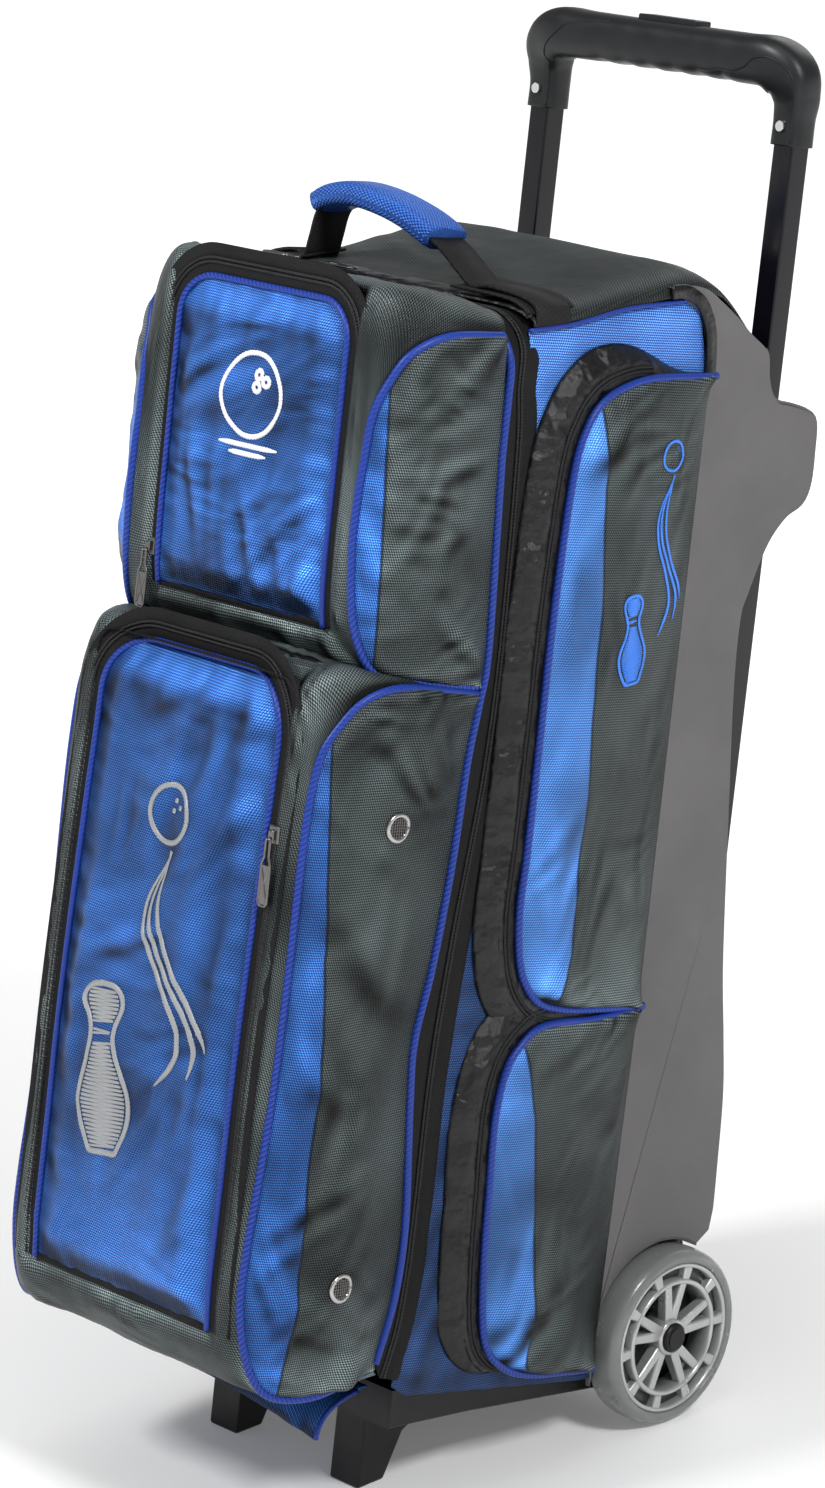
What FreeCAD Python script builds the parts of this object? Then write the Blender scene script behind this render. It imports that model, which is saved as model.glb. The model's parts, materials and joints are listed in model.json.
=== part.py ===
"""Rolling bag for three bowling balls, as separate named pieces.

The model is drawn upright in the bag's own frame: x across the bag, y to the back, z along the
handle tubes, with the wheel axle as origin.  Every sub-part then gets the same Placement, which
leans the bag back about the axle and moves the origin to the middle of its footprint on the floor.
"""
import os
import re

import FreeCAD
import Part
import Sketcher

DIMENSIONS = {
    "origin_y": -120.08, "lean": 8,
    # wheels and axle
    "wheel_radius": 63.5, "tyre_in": 119.5, "tyre_out": 148, "tyre_bore": 54,
    "tyre_rounding": 6, "hub_radius": 14,
    "axle_radius": 4, "running_gap": 0.05, "bearing_radius": 11, "bearing_width": 7,
    # housing
    "cheek_out": 130, "cheek_wall": 3.5, "seam_y": -62, "well_radius": 68, "well_in": 113.5,
    "cheek_top": 746, "cheek_bottom": -27, "well_top": 84, "wing_y": 56, "wing_low": 575, "wing_top": 651,
    "panel_y": -16.5, "panel_wall": 4,
    # telescopic handle
    "tube_x": 114, "tube_y": 12, "inner_side": 17.5, "inner_wall": 1.6, "sleeve_side": 20.5,
    "sleeve_bore": 17.6, "sleeve_low": 84.4, "sleeve_top": 652, "inner_low": 215, "socket_low": 825,
    "grip_top": 896, "grip_under": 862, "grip_half": 137, "grip_front": -13, "grip_back": 23,
    "button_half": 27, "rod_radius": 2.5,
    "rivet_radius": 3.6, "rivet_height": 2,
    # fabric body
    "shell_half": 126, "narrow_half": 113, "fabric": 2.5, "front_y": -245, "zip_low_z": -10,
    "shoulder_z": 712, "crown_y": -79, "crown_z": 744, "back_y": -17, "back_z": 697, "hem_z": -25,
    "ball_half": 110.5, "bay_pitch": 237, "bay_height": 231, "cup_radius": 66, "cup_bore": 48,
    "cup_height": 22,
    # base
    "tray_z": -38, "foot_in": 47, "foot_out": 75, "foot_front": -224, "foot_heel": -200,
    # front door and its pockets
    "door_back": -248.2, "door_wall": 3, "door_top": 709, "door_foot": 5, "door_half": 130,
    "upper_front": -345, "upper_low": 484, "upper_top": 720, "upper_flap_half": 79.5,
    "upper_flap_low": 506, "upper_flap_top": 703, "lower_front": -392, "lower_rise": -378,
    "lower_top": 478, "lower_flap_half": 88, "lower_flap_low": 48, "lower_flap_top": 464,
    "flap_wall": 2.5, "flap_gap": 0.5,
    # side pockets
    "side_in": 126.3, "side_out": 143.5, "side_front": -212, "pocket_seam": -64,
    "upper_side_low": 247, "upper_side_top": 675, "lower_side_low": -8, "lower_side_top": 241,
    # carrying handle
    "strap_wall": 2.6, "strap_front": -230, "strap_back": -200,
    # zip sliders
    "slider_half": 5, "slider_high": 5, "tab_wall": 1.6,
}
ALIAS = re.compile(r"\b(" + "|".join(DIMENSIONS) + r")\b")

os.makedirs("parts", exist_ok=True)
document = FreeCAD.newDocument("rolling_bowling_bag")
sheet = document.addObject("Spreadsheet::Sheet", "dim")
for row, (alias, number) in enumerate(DIMENSIONS.items(), start=1):
    sheet.set("A%d" % row, alias)
    sheet.set("B%d" % row, str(number))
    sheet.setAlias("B%d" % row, alias)
document.recompute()

PARTS = []


def bound(formula):
    """A formula in plain aliases, written the way the sheet's readers need it."""
    return ALIAS.sub(r"dim.\1", str(formula))


def bind(item, path, formula):
    item.setExpression(path, bound(formula))


def stand(item, name):
    """Give a finished sub-part its name and the common leaning Placement."""
    item.Label = name
    tilt = FreeCAD.Rotation(FreeCAD.Vector(1, 0, 0), -DIMENSIONS["lean"])
    item.Placement = FreeCAD.Placement(FreeCAD.Vector(0, 0, 0), tilt)
    bind(item, "Placement.Rotation.Angle", "-lean")
    bind(item, "Placement.Base.y", "-origin_y")
    bind(item, "Placement.Base.z", "wheel_radius")
    PARTS.append(item)
    return item


def new_body(name):
    return stand(document.addObject("PartDesign::Body", name), name)


def new_sketch(body, role, offset):
    """A sketch on one of the body's own planes, moved along that plane's normal."""
    sketch = body.newObject("Sketcher::SketchObject", "outline")
    plane = next(item for item in body.Origin.OriginFeatures if item.Role == role)
    sketch.AttachmentSupport = [(plane, "")]
    sketch.MapMode = "FlatFace"
    bind(sketch, "AttachmentOffset.Base.z", offset)
    return sketch


def add_outline(sketch, corners):
    """A closed outline whose corners are pairs of formulas."""
    values = [[float(sketch.evalExpression(bound(term))) for term in corner] for corner in corners]
    count = len(corners)
    first = sketch.GeometryCount
    for index, start in enumerate(values):
        end = values[(index + 1) % count]
        sketch.addGeometry(Part.LineSegment(FreeCAD.Vector(*start, 0), FreeCAD.Vector(*end, 0)), False)
    for index, corner in enumerate(corners):
        line = first + index
        following = first + (index + 1) % count
        sketch.addConstraint(Sketcher.Constraint("Coincident", line, 2, following, 1))
        for kind, axis in (("DistanceX", 0), ("DistanceY", 1)):
            datum = Sketcher.Constraint(kind, -1, 1, line, 1, values[index][axis])
            bind(sketch, "Constraints[%d]" % sketch.addConstraint(datum), corner[axis])


def add_circle(sketch, centre, radius):
    """A circle whose centre and radius are formulas."""
    place = [float(sketch.evalExpression(bound(term))) for term in centre]
    size = float(sketch.evalExpression(bound(radius)))
    circle = sketch.addGeometry(Part.Circle(FreeCAD.Vector(*place, 0), FreeCAD.Vector(0, 0, 1), size),
                                False)
    for kind, axis in (("DistanceX", 0), ("DistanceY", 1)):
        datum = Sketcher.Constraint(kind, -1, 1, circle, 3, place[axis])
        bind(sketch, "Constraints[%d]" % sketch.addConstraint(datum), centre[axis])
    bind(sketch, "Constraints[%d]" % sketch.addConstraint(Sketcher.Constraint("Radius", circle, size)),
         radius)


def extrude(body, kind, role, shapes, low, high):
    """Pad or pocket outlines and circles between two places on the axis normal to their plane."""
    backward = role == "XZ_Plane"
    start = low if backward == (kind == "Pocket") else high
    if kind == "Pad":
        start = high if backward else low
    sketch = new_sketch(body, role, "-(%s)" % start if backward else start)
    for shape in shapes:
        if isinstance(shape[1], str):
            add_circle(sketch, shape[0], shape[1])
        else:
            add_outline(sketch, shape)
    feature = body.newObject("PartDesign::" + kind, kind.lower())
    feature.Profile = sketch
    bind(feature, "Length", "(%s) - (%s)" % (high, low))
    sketch.Visibility = False
    return feature


def pad(body, role, shapes, low, high):
    return extrude(body, "Pad", role, shapes, low, high)


def pocket(body, role, shapes, low, high):
    return extrude(body, "Pocket", role, shapes, low, high)


def rectangle(left, bottom, right, top):
    return [(left, bottom), (left, top), (right, top), (right, bottom)]


def block(body, kind, low, high):
    """An additive or subtractive box between two corners given as formulas."""
    feature = body.newObject("PartDesign::" + kind + "Box", "box")
    for index, (side, axis) in enumerate((("Length", "x"), ("Width", "y"), ("Height", "z"))):
        bind(feature, side, "(%s) - (%s)" % (high[index], low[index]))
        bind(feature, "Placement.Base." + axis, low[index])
    return feature


def box_part(name, low, high):
    body = new_body(name)
    block(body, "Additive", low, high)
    return body


def round_edges(body, radius, wanted):
    """Fillet the edges of the body's last feature that wanted(edge middle, direction) picks."""
    document.recompute()
    base = body.Tip
    names = []
    for index, edge in enumerate(base.Shape.Edges, start=1):
        if edge.Curve.TypeId != "Part::GeomLine":
            continue
        ends = [vertex.Point for vertex in edge.Vertexes]
        if wanted((ends[0] + ends[1]) * 0.5, (ends[1] - ends[0]).normalize()):
            names.append("Edge%d" % index)
    fillet = body.newObject("PartDesign::Fillet", "fillet")
    fillet.Base = (base, names)
    bind(fillet, "Radius", radius)
    return fillet


def span(side, near, far):
    """The low and high x of something between two distances from the middle, on one side."""
    return (near, far) if side > 0 else ("-(%s)" % far, "-(%s)" % near)


def cylinder_x(name, radius, centre, low, high):
    """A plain cylinder along x, for a group of pins or rods."""
    item = document.addObject("Part::Cylinder", name)
    bind(item, "Radius", radius)
    bind(item, "Height", "(%s) - (%s)" % (high, low))
    item.Placement = FreeCAD.Placement(FreeCAD.Vector(), FreeCAD.Rotation(FreeCAD.Vector(0, 1, 0), 90))
    for axis, formula in zip("xyz", (low, centre[0], centre[1])):
        bind(item, "Placement.Base." + axis, formula)
    return item


def group(name, members):
    """Identical loose pieces kept together as one sub-part of separate solids."""
    item = document.addObject("Part::Compound", name)
    item.Links = members
    return stand(item, name)


# ---------------------------------------------------------------- housing

def make_cheek(name, side):
    """A moulded side cheek with its wing behind the tube and the well around the wheel."""
    body = new_body(name)
    inner = "cheek_out - cheek_wall"
    outline = [("seam_y", "cheek_bottom"), ("seam_y", "cheek_top - 50"), ("seam_y - 12", "cheek_top - 22"),
               ("seam_y - 34", "cheek_top - 6"), ("seam_y - 20", "cheek_top - 4"),
               ("seam_y + 2", "cheek_top - 16"),
               ("-4", "wing_top + 38"), ("2", "wing_top + 5"), ("wing_y - 12", "wing_top"),
               ("wing_y", "wing_top - 10"), ("wing_y", "wing_low + 20"), ("wing_y - 26", "wing_low"),
               ("2", "wing_low - 52"), ("0", "450"), ("wing_y - 12", "105"), ("wing_y - 12", "76"),
               ("0", "well_radius + 2"), ("0", "cheek_bottom")]
    pad(body, "YZ_Plane", [outline], *span(side, inner, "cheek_out"))
    well = rectangle("seam_y", "cheek_bottom", "wing_y - 12", "well_top")
    pad(body, "YZ_Plane", [well], *span(side, "well_in", inner + " + 1"))
    pocket(body, "YZ_Plane", [(("0", "0"), "well_radius")],
           *span(side, "well_in + cheek_wall", "cheek_out + 1"))
    pocket(body, "YZ_Plane", [(("0", "0"), "axle_radius + 0.2")],
           *span(side, "well_in - 1", "cheek_out + 1"))


make_cheek("right_cheek", 1)
make_cheek("left_cheek", -1)

box_part("rear_panel", ("-(cheek_out - cheek_wall - 0.2)", "panel_y", "85"),
         ("cheek_out - cheek_wall - 0.2", "panel_y + panel_wall", "back_z - 6"))


def tube_square(side, width):
    """A square around one tube's middle, seen from above."""
    middle = "tube_x" if side > 0 else "-tube_x"
    return rectangle(middle + " - %s / 2" % width, "tube_y - %s / 2" % width,
                     middle + " + %s / 2" % width, "tube_y + %s / 2" % width)


bracket = new_body("tube_bracket")
bracket_half = "cheek_out - cheek_wall - 0.2"
pad(bracket, "YZ_Plane", [[("panel_y + panel_wall + 0.1", "wing_low + 4"),
                           ("panel_y + panel_wall + 0.1", "wing_top - 2"),
                           ("wing_y - 12", "wing_top - 2"), ("wing_y - 1", "wing_top - 12"),
                           ("wing_y - 1", "wing_low + 20"), ("wing_y - 26", "wing_low + 4")]],
    "-(%s)" % bracket_half, bracket_half)
block(bracket, "Subtractive", ("-tube_x + sleeve_side", "panel_y + panel_wall + 4", "wing_low"),
      ("tube_x - sleeve_side", "wing_y - 5", "wing_top - 6"))
for side in (1, -1):
    pocket(bracket, "XY_Plane", [tube_square(side, "(sleeve_side + 0.1)")], "wing_low - 1", "wing_top + 1")

axle_block = new_body("axle_block")
pad(axle_block, "YZ_Plane", [[("panel_y + 1", "hem_z - 2"), ("panel_y + 1", "well_top"),
                              ("wing_y - 30", "well_top"),
                              ("wing_y - 12", "40"), ("wing_y - 12", "-14"), ("wing_y - 24", "hem_z - 2")]],
    "-(well_in - 0.2)", "well_in - 0.2")
block(axle_block, "Subtractive", ("-90", "axle_radius * 3", "-18"), ("90", "wing_y", "78"))
pocket(axle_block, "YZ_Plane", [(("0", "0"), "axle_radius + 0.2")], "-well_in", "well_in")

axle = new_body("axle")
pad(axle, "YZ_Plane", [(("0", "0"), "axle_radius")], "-(tyre_out + 1)", "tyre_out + 1")

# ---------------------------------------------------------------- wheels

def make_wheel(word, side):
    """One wheel: rubber tyre, spoked core, two bearings and the cap over the axle's end."""
    tyre = new_body(word + "_tyre")
    pad(tyre, "YZ_Plane", [(("0", "0"), "wheel_radius"), (("0", "0"), "tyre_bore")],
        *span(side, "tyre_in", "tyre_out"))
    document.recompute()
    ring_pad = tyre.Tip
    rims = [index for index, edge in enumerate(ring_pad.Shape.Edges, start=1)
            if edge.Closed and edge.Curve.Radius > DIMENSIONS["tyre_bore"] + 1]
    shoulder = tyre.newObject("PartDesign::Fillet", "shoulder")
    shoulder.Base = (ring_pad, ["Edge%d" % index for index in rims])
    bind(shoulder, "Radius", "tyre_rounding")

    core = new_body(word + "_wheel_core")
    pad(core, "YZ_Plane", [(("0", "0"), "tyre_bore - 0.02")], *span(side, "tyre_in + 2", "tyre_out - 2"))
    pocket(core, "YZ_Plane", [(("0", "0"), "bearing_radius")], *span(side, "tyre_in + 1", "tyre_out"))
    window = pocket(core, "YZ_Plane", [[("tyre_bore - 12", "-8"), ("tyre_bore - 12", "8"),
                                        ("tyre_bore - 5", "9"), ("tyre_bore - 5", "-9")]],
                    *span(side, "tyre_in + 1", "tyre_out"))
    ring = core.newObject("PartDesign::PolarPattern", "window_ring")
    ring.Originals = [window]
    ring.Axis = (next(item for item in core.Origin.OriginFeatures if item.Role == "X_Axis"), [""])
    ring.Angle = 360
    ring.Occurrences = 10
    core.Tip = ring
    gap = pocket(core, "YZ_Plane", [[("hub_radius + 2", "-5"), ("hub_radius + 2", "5"),
                                     ("tyre_bore - 17", "14"), ("tyre_bore - 17", "-14")]],
                 *span(side, "tyre_in + 1", "tyre_out"))
    spokes = core.newObject("PartDesign::PolarPattern", "spoke_ring")
    spokes.Originals = [gap]
    spokes.Axis = (next(item for item in core.Origin.OriginFeatures if item.Role == "X_Axis"), [""])
    spokes.Angle = 360
    spokes.Occurrences = 5
    core.Tip = spokes

    races = []
    for end, (near, far) in (("in", ("tyre_in + 2", "tyre_in + 2 + bearing_width")),
                             ("out", ("tyre_out - 2 - bearing_width", "tyre_out - 2"))):
        ends = span(side, near, far)
        outer = cylinder_x(word + "_race_" + end, "bearing_radius - 0.02", ("0", "0"), *ends)
        bore = cylinder_x(word + "_race_bore_" + end, "axle_radius + running_gap", ("0", "0"), *ends)
        race = document.addObject("Part::Cut", word + "_bearing_" + end)
        race.Base = outer
        race.Tool = bore
        races.append(race)
    group(word + "_bearings", races)

    cap = new_body(word + "_axle_cap")
    pad(cap, "YZ_Plane", [(("0", "0"), "axle_radius + 3.5")], *span(side, "tyre_out - 1.8", "tyre_out + 2"))
    pocket(cap, "YZ_Plane", [(("0", "0"), "axle_radius + 0.02")],
           *span(side, "tyre_out - 3", "tyre_out + 1.02"))


make_wheel("right", 1)
make_wheel("left", -1)

# ---------------------------------------------------------------- telescopic handle

def make_tubes(word, side):
    """The fixed sleeve and the tube that slides inside it."""
    sleeve = new_body(word + "_outer_tube")
    pad(sleeve, "XY_Plane", [tube_square(side, "sleeve_side"), tube_square(side, "sleeve_bore")],
        "sleeve_low", "sleeve_top")
    inner = new_body(word + "_inner_tube")
    pad(inner, "XY_Plane", [tube_square(side, "inner_side"),
                            tube_square(side, "(inner_side - 2 * inner_wall)")],
        "inner_low", "socket_low + 22")


make_tubes("right", 1)
make_tubes("left", -1)

grip = new_body("grip")
leg_out = "tube_x + 12.5"
leg_in = "tube_x - 12.5"
arch = [("-(%s)" % leg_out, "socket_low"), ("-(%s)" % leg_in, "socket_low"),
        ("-(tube_x - 17)", "grip_under - 14"),
        ("-(tube_x - 38)", "grip_under"), ("tube_x - 38", "grip_under"), ("tube_x - 17", "grip_under - 14"),
        (leg_in, "socket_low"), (leg_out, "socket_low"), ("grip_half", "grip_under - 8"),
        ("grip_half - 2", "grip_top - 16"), ("grip_half - 20", "grip_top"),
        ("-(grip_half - 20)", "grip_top"),
        ("-(grip_half - 2)", "grip_top - 16"), ("-grip_half", "grip_under - 8")]
pad(grip, "XZ_Plane", [arch], "grip_front", "grip_back + 1.5")
block(grip, "Subtractive", ("-grip_half - 1", "grip_front - 1", "socket_low - 1"),
      ("grip_half + 1", "tube_y - 12.5", "grip_under - 12"))
round_edges(grip, 11, lambda middle, way: abs(way.x) > 0.9 and abs(middle.x) < 1 and middle.z > 850)
for side in (1, -1):
    pocket(grip, "XY_Plane", [tube_square(side, "(inner_side + 0.02)")],
           "socket_low - 1", "socket_low + 23")
    pocket(grip, "XY_Plane", [(("%d * tube_x" % side, "tube_y"), "rod_radius + 1")],
           "socket_low + 22", "grip_under + 5")
block(grip, "Subtractive", ("-tube_x - 4", "tube_y - 4", "grip_under + 4"),
      ("tube_x + 4", "tube_y + 4", "grip_under + 16"))
block(grip, "Subtractive", ("-button_half - 0.4", "tube_y - 12.4", "grip_under + 9.5"),
      ("button_half + 0.4", "tube_y + 4.4", "grip_top + 1"))

rivets = []
for side in (1, -1):
    rivet = document.addObject("Part::Cylinder", "rivet")
    bind(rivet, "Radius", "rivet_radius")
    bind(rivet, "Height", "rivet_height")
    rivet.Placement = FreeCAD.Placement(FreeCAD.Vector(), FreeCAD.Rotation(FreeCAD.Vector(1, 0, 0), -90))
    bind(rivet, "Placement.Base.x", "%d * tube_x" % side)
    bind(rivet, "Placement.Base.y", "tube_y - 12.6 - rivet_height")
    bind(rivet, "Placement.Base.z", "socket_low + 13")
    rivets.append(rivet)
group("grip_rivets", rivets)

box_part("release_button", ("-button_half", "tube_y - 12", "grip_under + 14.5"),
         ("button_half", "tube_y + 4", "grip_top + 3"))
yoke = box_part("release_yoke", ("-tube_x - 3", "tube_y - 3", "grip_under + 10"),
                ("tube_x + 3", "tube_y + 3", "grip_under + 14.4"))
for side in (1, -1):
    pad(yoke, "XY_Plane", [(("%d * tube_x" % side, "tube_y"), "rod_radius")],
        "inner_low + 12", "grip_under + 11")

# ---------------------------------------------------------------- base

tray = new_body("base_tray")
tray_profile = [("front_y + 5", "tray_z"), ("front_y + 5", "zip_low_z - 0.9"), ("panel_y", "hem_z - 4.6"),
                ("panel_y", "tray_z - 4"), ("foot_front + 60", "tray_z")]
pad(tray, "YZ_Plane", [tray_profile], "-(narrow_half - 0.6)", "narrow_half - 0.6")

for word, side in (("right", 1), ("left", -1)):
    foot = new_body(word + "_foot")
    floor_front = "foot_front * tan(lean * 1 deg) - wheel_radius / cos(lean * 1 deg)"
    floor_heel = "foot_heel * tan(lean * 1 deg) - wheel_radius / cos(lean * 1 deg)"
    pad(foot, "YZ_Plane", [[("foot_front", floor_front), ("foot_front", "tray_z - 0.4"),
                            ("foot_front + 60", "tray_z - 0.4"),
                            ("foot_front + 70", "tray_z - 1.4"), ("foot_heel + 14", "tray_z - 22"),
                            ("foot_heel", floor_heel)]],
        *span(side, "foot_in", "foot_out"))

# ---------------------------------------------------------------- fabric body and its inside

shell = new_body("body_shell")
roof = [("crown_y", "crown_z"), ("seam_y - 0.5", "crown_z - 7")]
pad(shell, "YZ_Plane", [[("front_y", "zip_low_z"), ("front_y", "shoulder_z")] + roof +
                        [("seam_y + 20", "crown_z - 24"), ("back_y", "back_z"), ("back_y", "well_top + 4"),
                         ("seam_y - 0.5", "well_top + 4"), ("seam_y - 0.5", "hem_z + 4"),
                         ("seam_y - 12", "hem_z + 4")]],
    "-shell_half", "shell_half")
pad(shell, "YZ_Plane", [[("seam_y - 1", "hem_z + 4"), ("seam_y - 1", "well_top + 5"),
                         ("back_y", "well_top + 5"),
                         ("back_y", "hem_z")]], "-narrow_half", "narrow_half")
for side in (1, -1):
    pocket(shell, "YZ_Plane", [(("0", "0"), "well_radius + 0.5")],
           *span(side, "narrow_half", "shell_half + 1"))
pocket(shell, "YZ_Plane", [[("front_y - 1", "zip_low_z + 6"), ("front_y - 1", "shoulder_z - 3"),
                            ("crown_y", "crown_z - 3"),
                            ("seam_y + 18", "crown_z - 27"), ("back_y - fabric", "back_z - 3"),
                            ("back_y - fabric", "zip_low_z + 6")]], "-ball_half", "ball_half")
pocket(shell, "YZ_Plane", [[("front_y - 1", "80"), ("front_y - 1", "shoulder_z - 3"),
                            ("crown_y", "crown_z - 3"), ("crown_y", "80")]],
       "-(shell_half - fabric)", "shell_half - fabric")

for index, word in enumerate(("lower", "upper"), start=1):
    top = "%d * bay_pitch - 0.3" % index
    box_part(word + "_ball_shelf", ("-(ball_half - 0.5)", "front_y + 4", "%d * bay_pitch - 6" % index),
             ("ball_half - 0.5", "back_y - 4", top))
for index, word in enumerate(("bottom", "middle", "top")):
    cup = new_body(word + "_ball_cup")
    floor = "%d * bay_pitch" % index
    middle_of_bay = ("0", "(front_y + back_y) / 2")
    pad(cup, "XY_Plane", [(middle_of_bay, "cup_radius"), (middle_of_bay, "cup_bore")],
        floor, floor + " + cup_height")

# ---------------------------------------------------------------- main zip

teeth = new_body("main_zip")
pad(teeth, "XZ_Plane", [[("-shell_half", "0"), ("-shell_half", "shoulder_z - 26"),
                         ("-shell_half + 26", "shoulder_z - 1"),
                         ("shell_half - 26", "shoulder_z - 1"), ("shell_half", "shoulder_z - 26"),
                         ("shell_half", "0"),
                         ("shell_half - 4", "0"), ("shell_half - 4", "shoulder_z - 28"),
                         ("shell_half - 28", "shoulder_z - 5"),
                         ("-shell_half + 28", "shoulder_z - 5"), ("-shell_half + 4", "shoulder_z - 28"),
                         ("-shell_half + 4", "0")]],
    "door_back + 0.3", "front_y - 0.3")

# ---------------------------------------------------------------- front door and its two pockets

door = new_body("door_panel")
pad(door, "XZ_Plane", [rectangle("-door_half", "door_foot", "door_half", "door_top")],
    "door_back - door_wall", "door_back")
round_edges(door, 30, lambda middle, way: abs(way.y) > 0.9 and middle.z > 600)


def make_door_pocket(name, profile, cavity, window):
    """A box pocket on the door, with rounded front corners and a window that its flap closes."""
    body = new_body(name)
    pad(body, "YZ_Plane", [profile], "-door_half", "door_half")
    pocket(body, "YZ_Plane", [cavity], "-(door_half - door_wall)", "door_half - door_wall")
    front = DIMENSIONS["door_back"] - 85
    round_edges(body, 28, lambda middle, way: abs(way.z) > 0.95 and middle.y < front)
    half, low, high, back = window
    pocket(body, "XZ_Plane", [rectangle("-(%s + flap_gap)" % half, low, "%s + flap_gap" % half, high)],
           "lower_front - 5", back)


rear = "door_back - door_wall - 0.1"
make_door_pocket(
    "upper_front_pocket",
    [(rear, "upper_low - 8"), (rear, "door_top - 1"), (rear + " - 40", "upper_top - 2"),
     ("upper_front", "upper_top"),
     ("upper_front", "upper_low"), (rear + " - 60", "upper_low - 3")],
    [(rear + " + 1", "upper_low"), (rear + " + 1", "door_top - 5"), ("upper_front + 3", "upper_top - 10"),
     ("upper_front + 3", "upper_low + 4")],
    ("upper_flap_half", "upper_flap_low - flap_gap", "upper_flap_top + flap_gap", "upper_front + 5"))
make_door_pocket(
    "lower_front_pocket",
    [(rear, "door_foot"), (rear, "upper_low - 9"), ("lower_rise + 22", "lower_top"),
     ("lower_rise", "lower_top - 16"),
     ("lower_front", "30"), ("lower_front + 16", "door_foot + 3")],
    [(rear + " + 1", "door_foot + 3"), (rear + " + 1", "upper_low - 14"),
     ("lower_rise + 22", "lower_top - 5"),
     ("lower_rise + 3", "lower_top - 18"), ("lower_front + 3", "31"),
     ("lower_front + 16", "door_foot + 6")],
    ("lower_flap_half", "lower_flap_low - flap_gap", "lower_flap_top + flap_gap", "lower_front + 30"))

upper_flap = new_body("upper_front_flap")
pad(upper_flap, "XZ_Plane",
    [rectangle("-upper_flap_half", "upper_flap_low", "upper_flap_half", "upper_flap_top")],
    "upper_front", "upper_front + flap_wall")
lower_flap = new_body("lower_front_flap")
pad(lower_flap, "YZ_Plane", [[("lower_front + 0.5", "lower_flap_low"), ("lower_rise", "lower_flap_top"),
                              ("lower_rise + flap_wall", "lower_flap_top"),
                              ("lower_front + 0.5 + flap_wall", "lower_flap_low")]],
    "-lower_flap_half", "lower_flap_half")

grommets = []
for side in (1, -1):
    for place in (("door_back - 65", "384"), ("door_back - 76", "80")):
        ends = span(side, "door_half + 0.1", "door_half + 1.3")
        ring_piece = document.addObject("Part::Cut", "grommet")
        ring_piece.Base = cylinder_x("grommet_rim", "9.5", place, *ends)
        ring_piece.Tool = cylinder_x("grommet_hole", "6.5", place, *ends)
        grommets.append(ring_piece)
group("vent_grommets", grommets)

# ---------------------------------------------------------------- side pockets

for side_word, side in (("right", 1), ("left", -1)):
    for level in ("upper", "lower"):
        name = "%s_%s_side" % (side_word, level)
        low = level + "_side_low"
        high = level + "_side_top"
        seam = "pocket_seam" if level == "upper" else "pocket_seam - 7"
        gusset = new_body(name + "_pocket")
        pad(gusset, "YZ_Plane", [rectangle("side_front", low, seam, high)],
            *span(side, "side_in", "side_out - flap_wall - 0.3"))
        pocket(gusset, "YZ_Plane",
               [rectangle("side_front + 3", low + " + 3", seam + " - 3", high + " - 3")],
               *span(side, "side_in - 1", "side_out"))
        round_edges(gusset, 36, lambda middle, way: abs(way.x) > 0.9 and middle.y < -150)
        flap = new_body(name + "_flap")
        pad(flap, "YZ_Plane", [rectangle("side_front", low, seam, high)],
            *span(side, "side_out - flap_wall", "side_out"))
        round_edges(flap, 36, lambda middle, way: abs(way.x) > 0.9 and middle.y < -150)

# ---------------------------------------------------------------- carrying handle

strap = new_body("carry_strap")
ROUTE = [(-127.5, 702), (-122, 714), (-96, 720.5), (-86, 727), (-84, 745), (-72, 758), (-32, 764),
         (6, 757), (30, 742), (62, 723), (96, 719), (122, 713), (127.5, 702)]
over = [("%g" % x, "%g + strap_wall" % z) if abs(x) < 120 else ("%g" % (x * 1.02), "%g + 1" % z)
        for x, z in ROUTE]
under = [("%g" % x, "%g" % z) for x, z in ROUTE]
pad(strap, "XZ_Plane", [over + under[::-1]], "strap_front", "strap_back")

wrap = new_body("carry_wrap")
WRAP = [(-84, 747), (-72, 758), (-32, 764), (6, 757), (24, 746)]
outer_side = [("%g" % x, "%g + strap_wall + 7" % z) for x, z in WRAP]
inner_side_wrap = [("%g" % x, "%g - 7" % z) for x, z in WRAP]
pad(wrap, "XZ_Plane", [outer_side + inner_side_wrap[::-1]], "strap_front + 3", "strap_back - 3")

# ---------------------------------------------------------------- zip sliders and their pulls

def make_pull(name, outline, low, high):
    """A flat zip pull hanging in front of its slider."""
    pad(new_body(name), "XZ_Plane", [outline], low, high)


for word, middle, way in (("left", "-82", -1), ("right", "-62", 1)):
    box_part(word + "_main_slider", (middle + " - slider_half", "door_back + 0.4", "shoulder_z + 1.9"),
                (middle + " + slider_half", "door_back + 9.4", "shoulder_z + 1.9 + slider_high"))
    root = "%s + %d * slider_half" % (middle, way)
    ends = (middle, root + " + 28") if way > 0 else (root + " - 28", middle)
    tab_low = "shoulder_z + 2.2 + slider_high"
    box_part(word + "_main_pull", (ends[0], "door_back + 1.4", tab_low),
             (ends[1], "door_back + 8.4", tab_low + " + tab_wall"))

box_part("upper_front_slider", ("-upper_flap_half - 12", "upper_front - slider_high - 0.3", "522"),
            ("-upper_flap_half - 3", "upper_front - 0.3", "534"))
make_pull("upper_front_pull", rectangle("-upper_flap_half - 12", "487", "-upper_flap_half - 4", "526"),
          "upper_front - slider_high - 0.6 - tab_wall", "upper_front - slider_high - 0.6")
box_part("lower_front_slider", ("lower_flap_half + 2.2", "lower_rise - 9", "370"),
            ("lower_flap_half + 11.2", "lower_rise - 4", "382"))
make_pull("lower_front_pull", rectangle("lower_flap_half + 3", "330", "lower_flap_half + 11", "374"),
          "lower_rise - 9.6 - tab_wall", "lower_rise - 9.6")
for side_word, side in (("right", 1), ("left", -1)):
    for level in ("upper", "lower"):
        low_x, high_x = span(side, "side_in + 3", "side_in + 11")
        top = level + "_side_top + 0.3"
        box_part("%s_%s_side_slider" % (side_word, level), (low_x, "-128", top),
                 (high_x, "-118", top + " + 4"))

# ---------------------------------------------------------------- checks and export

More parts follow.
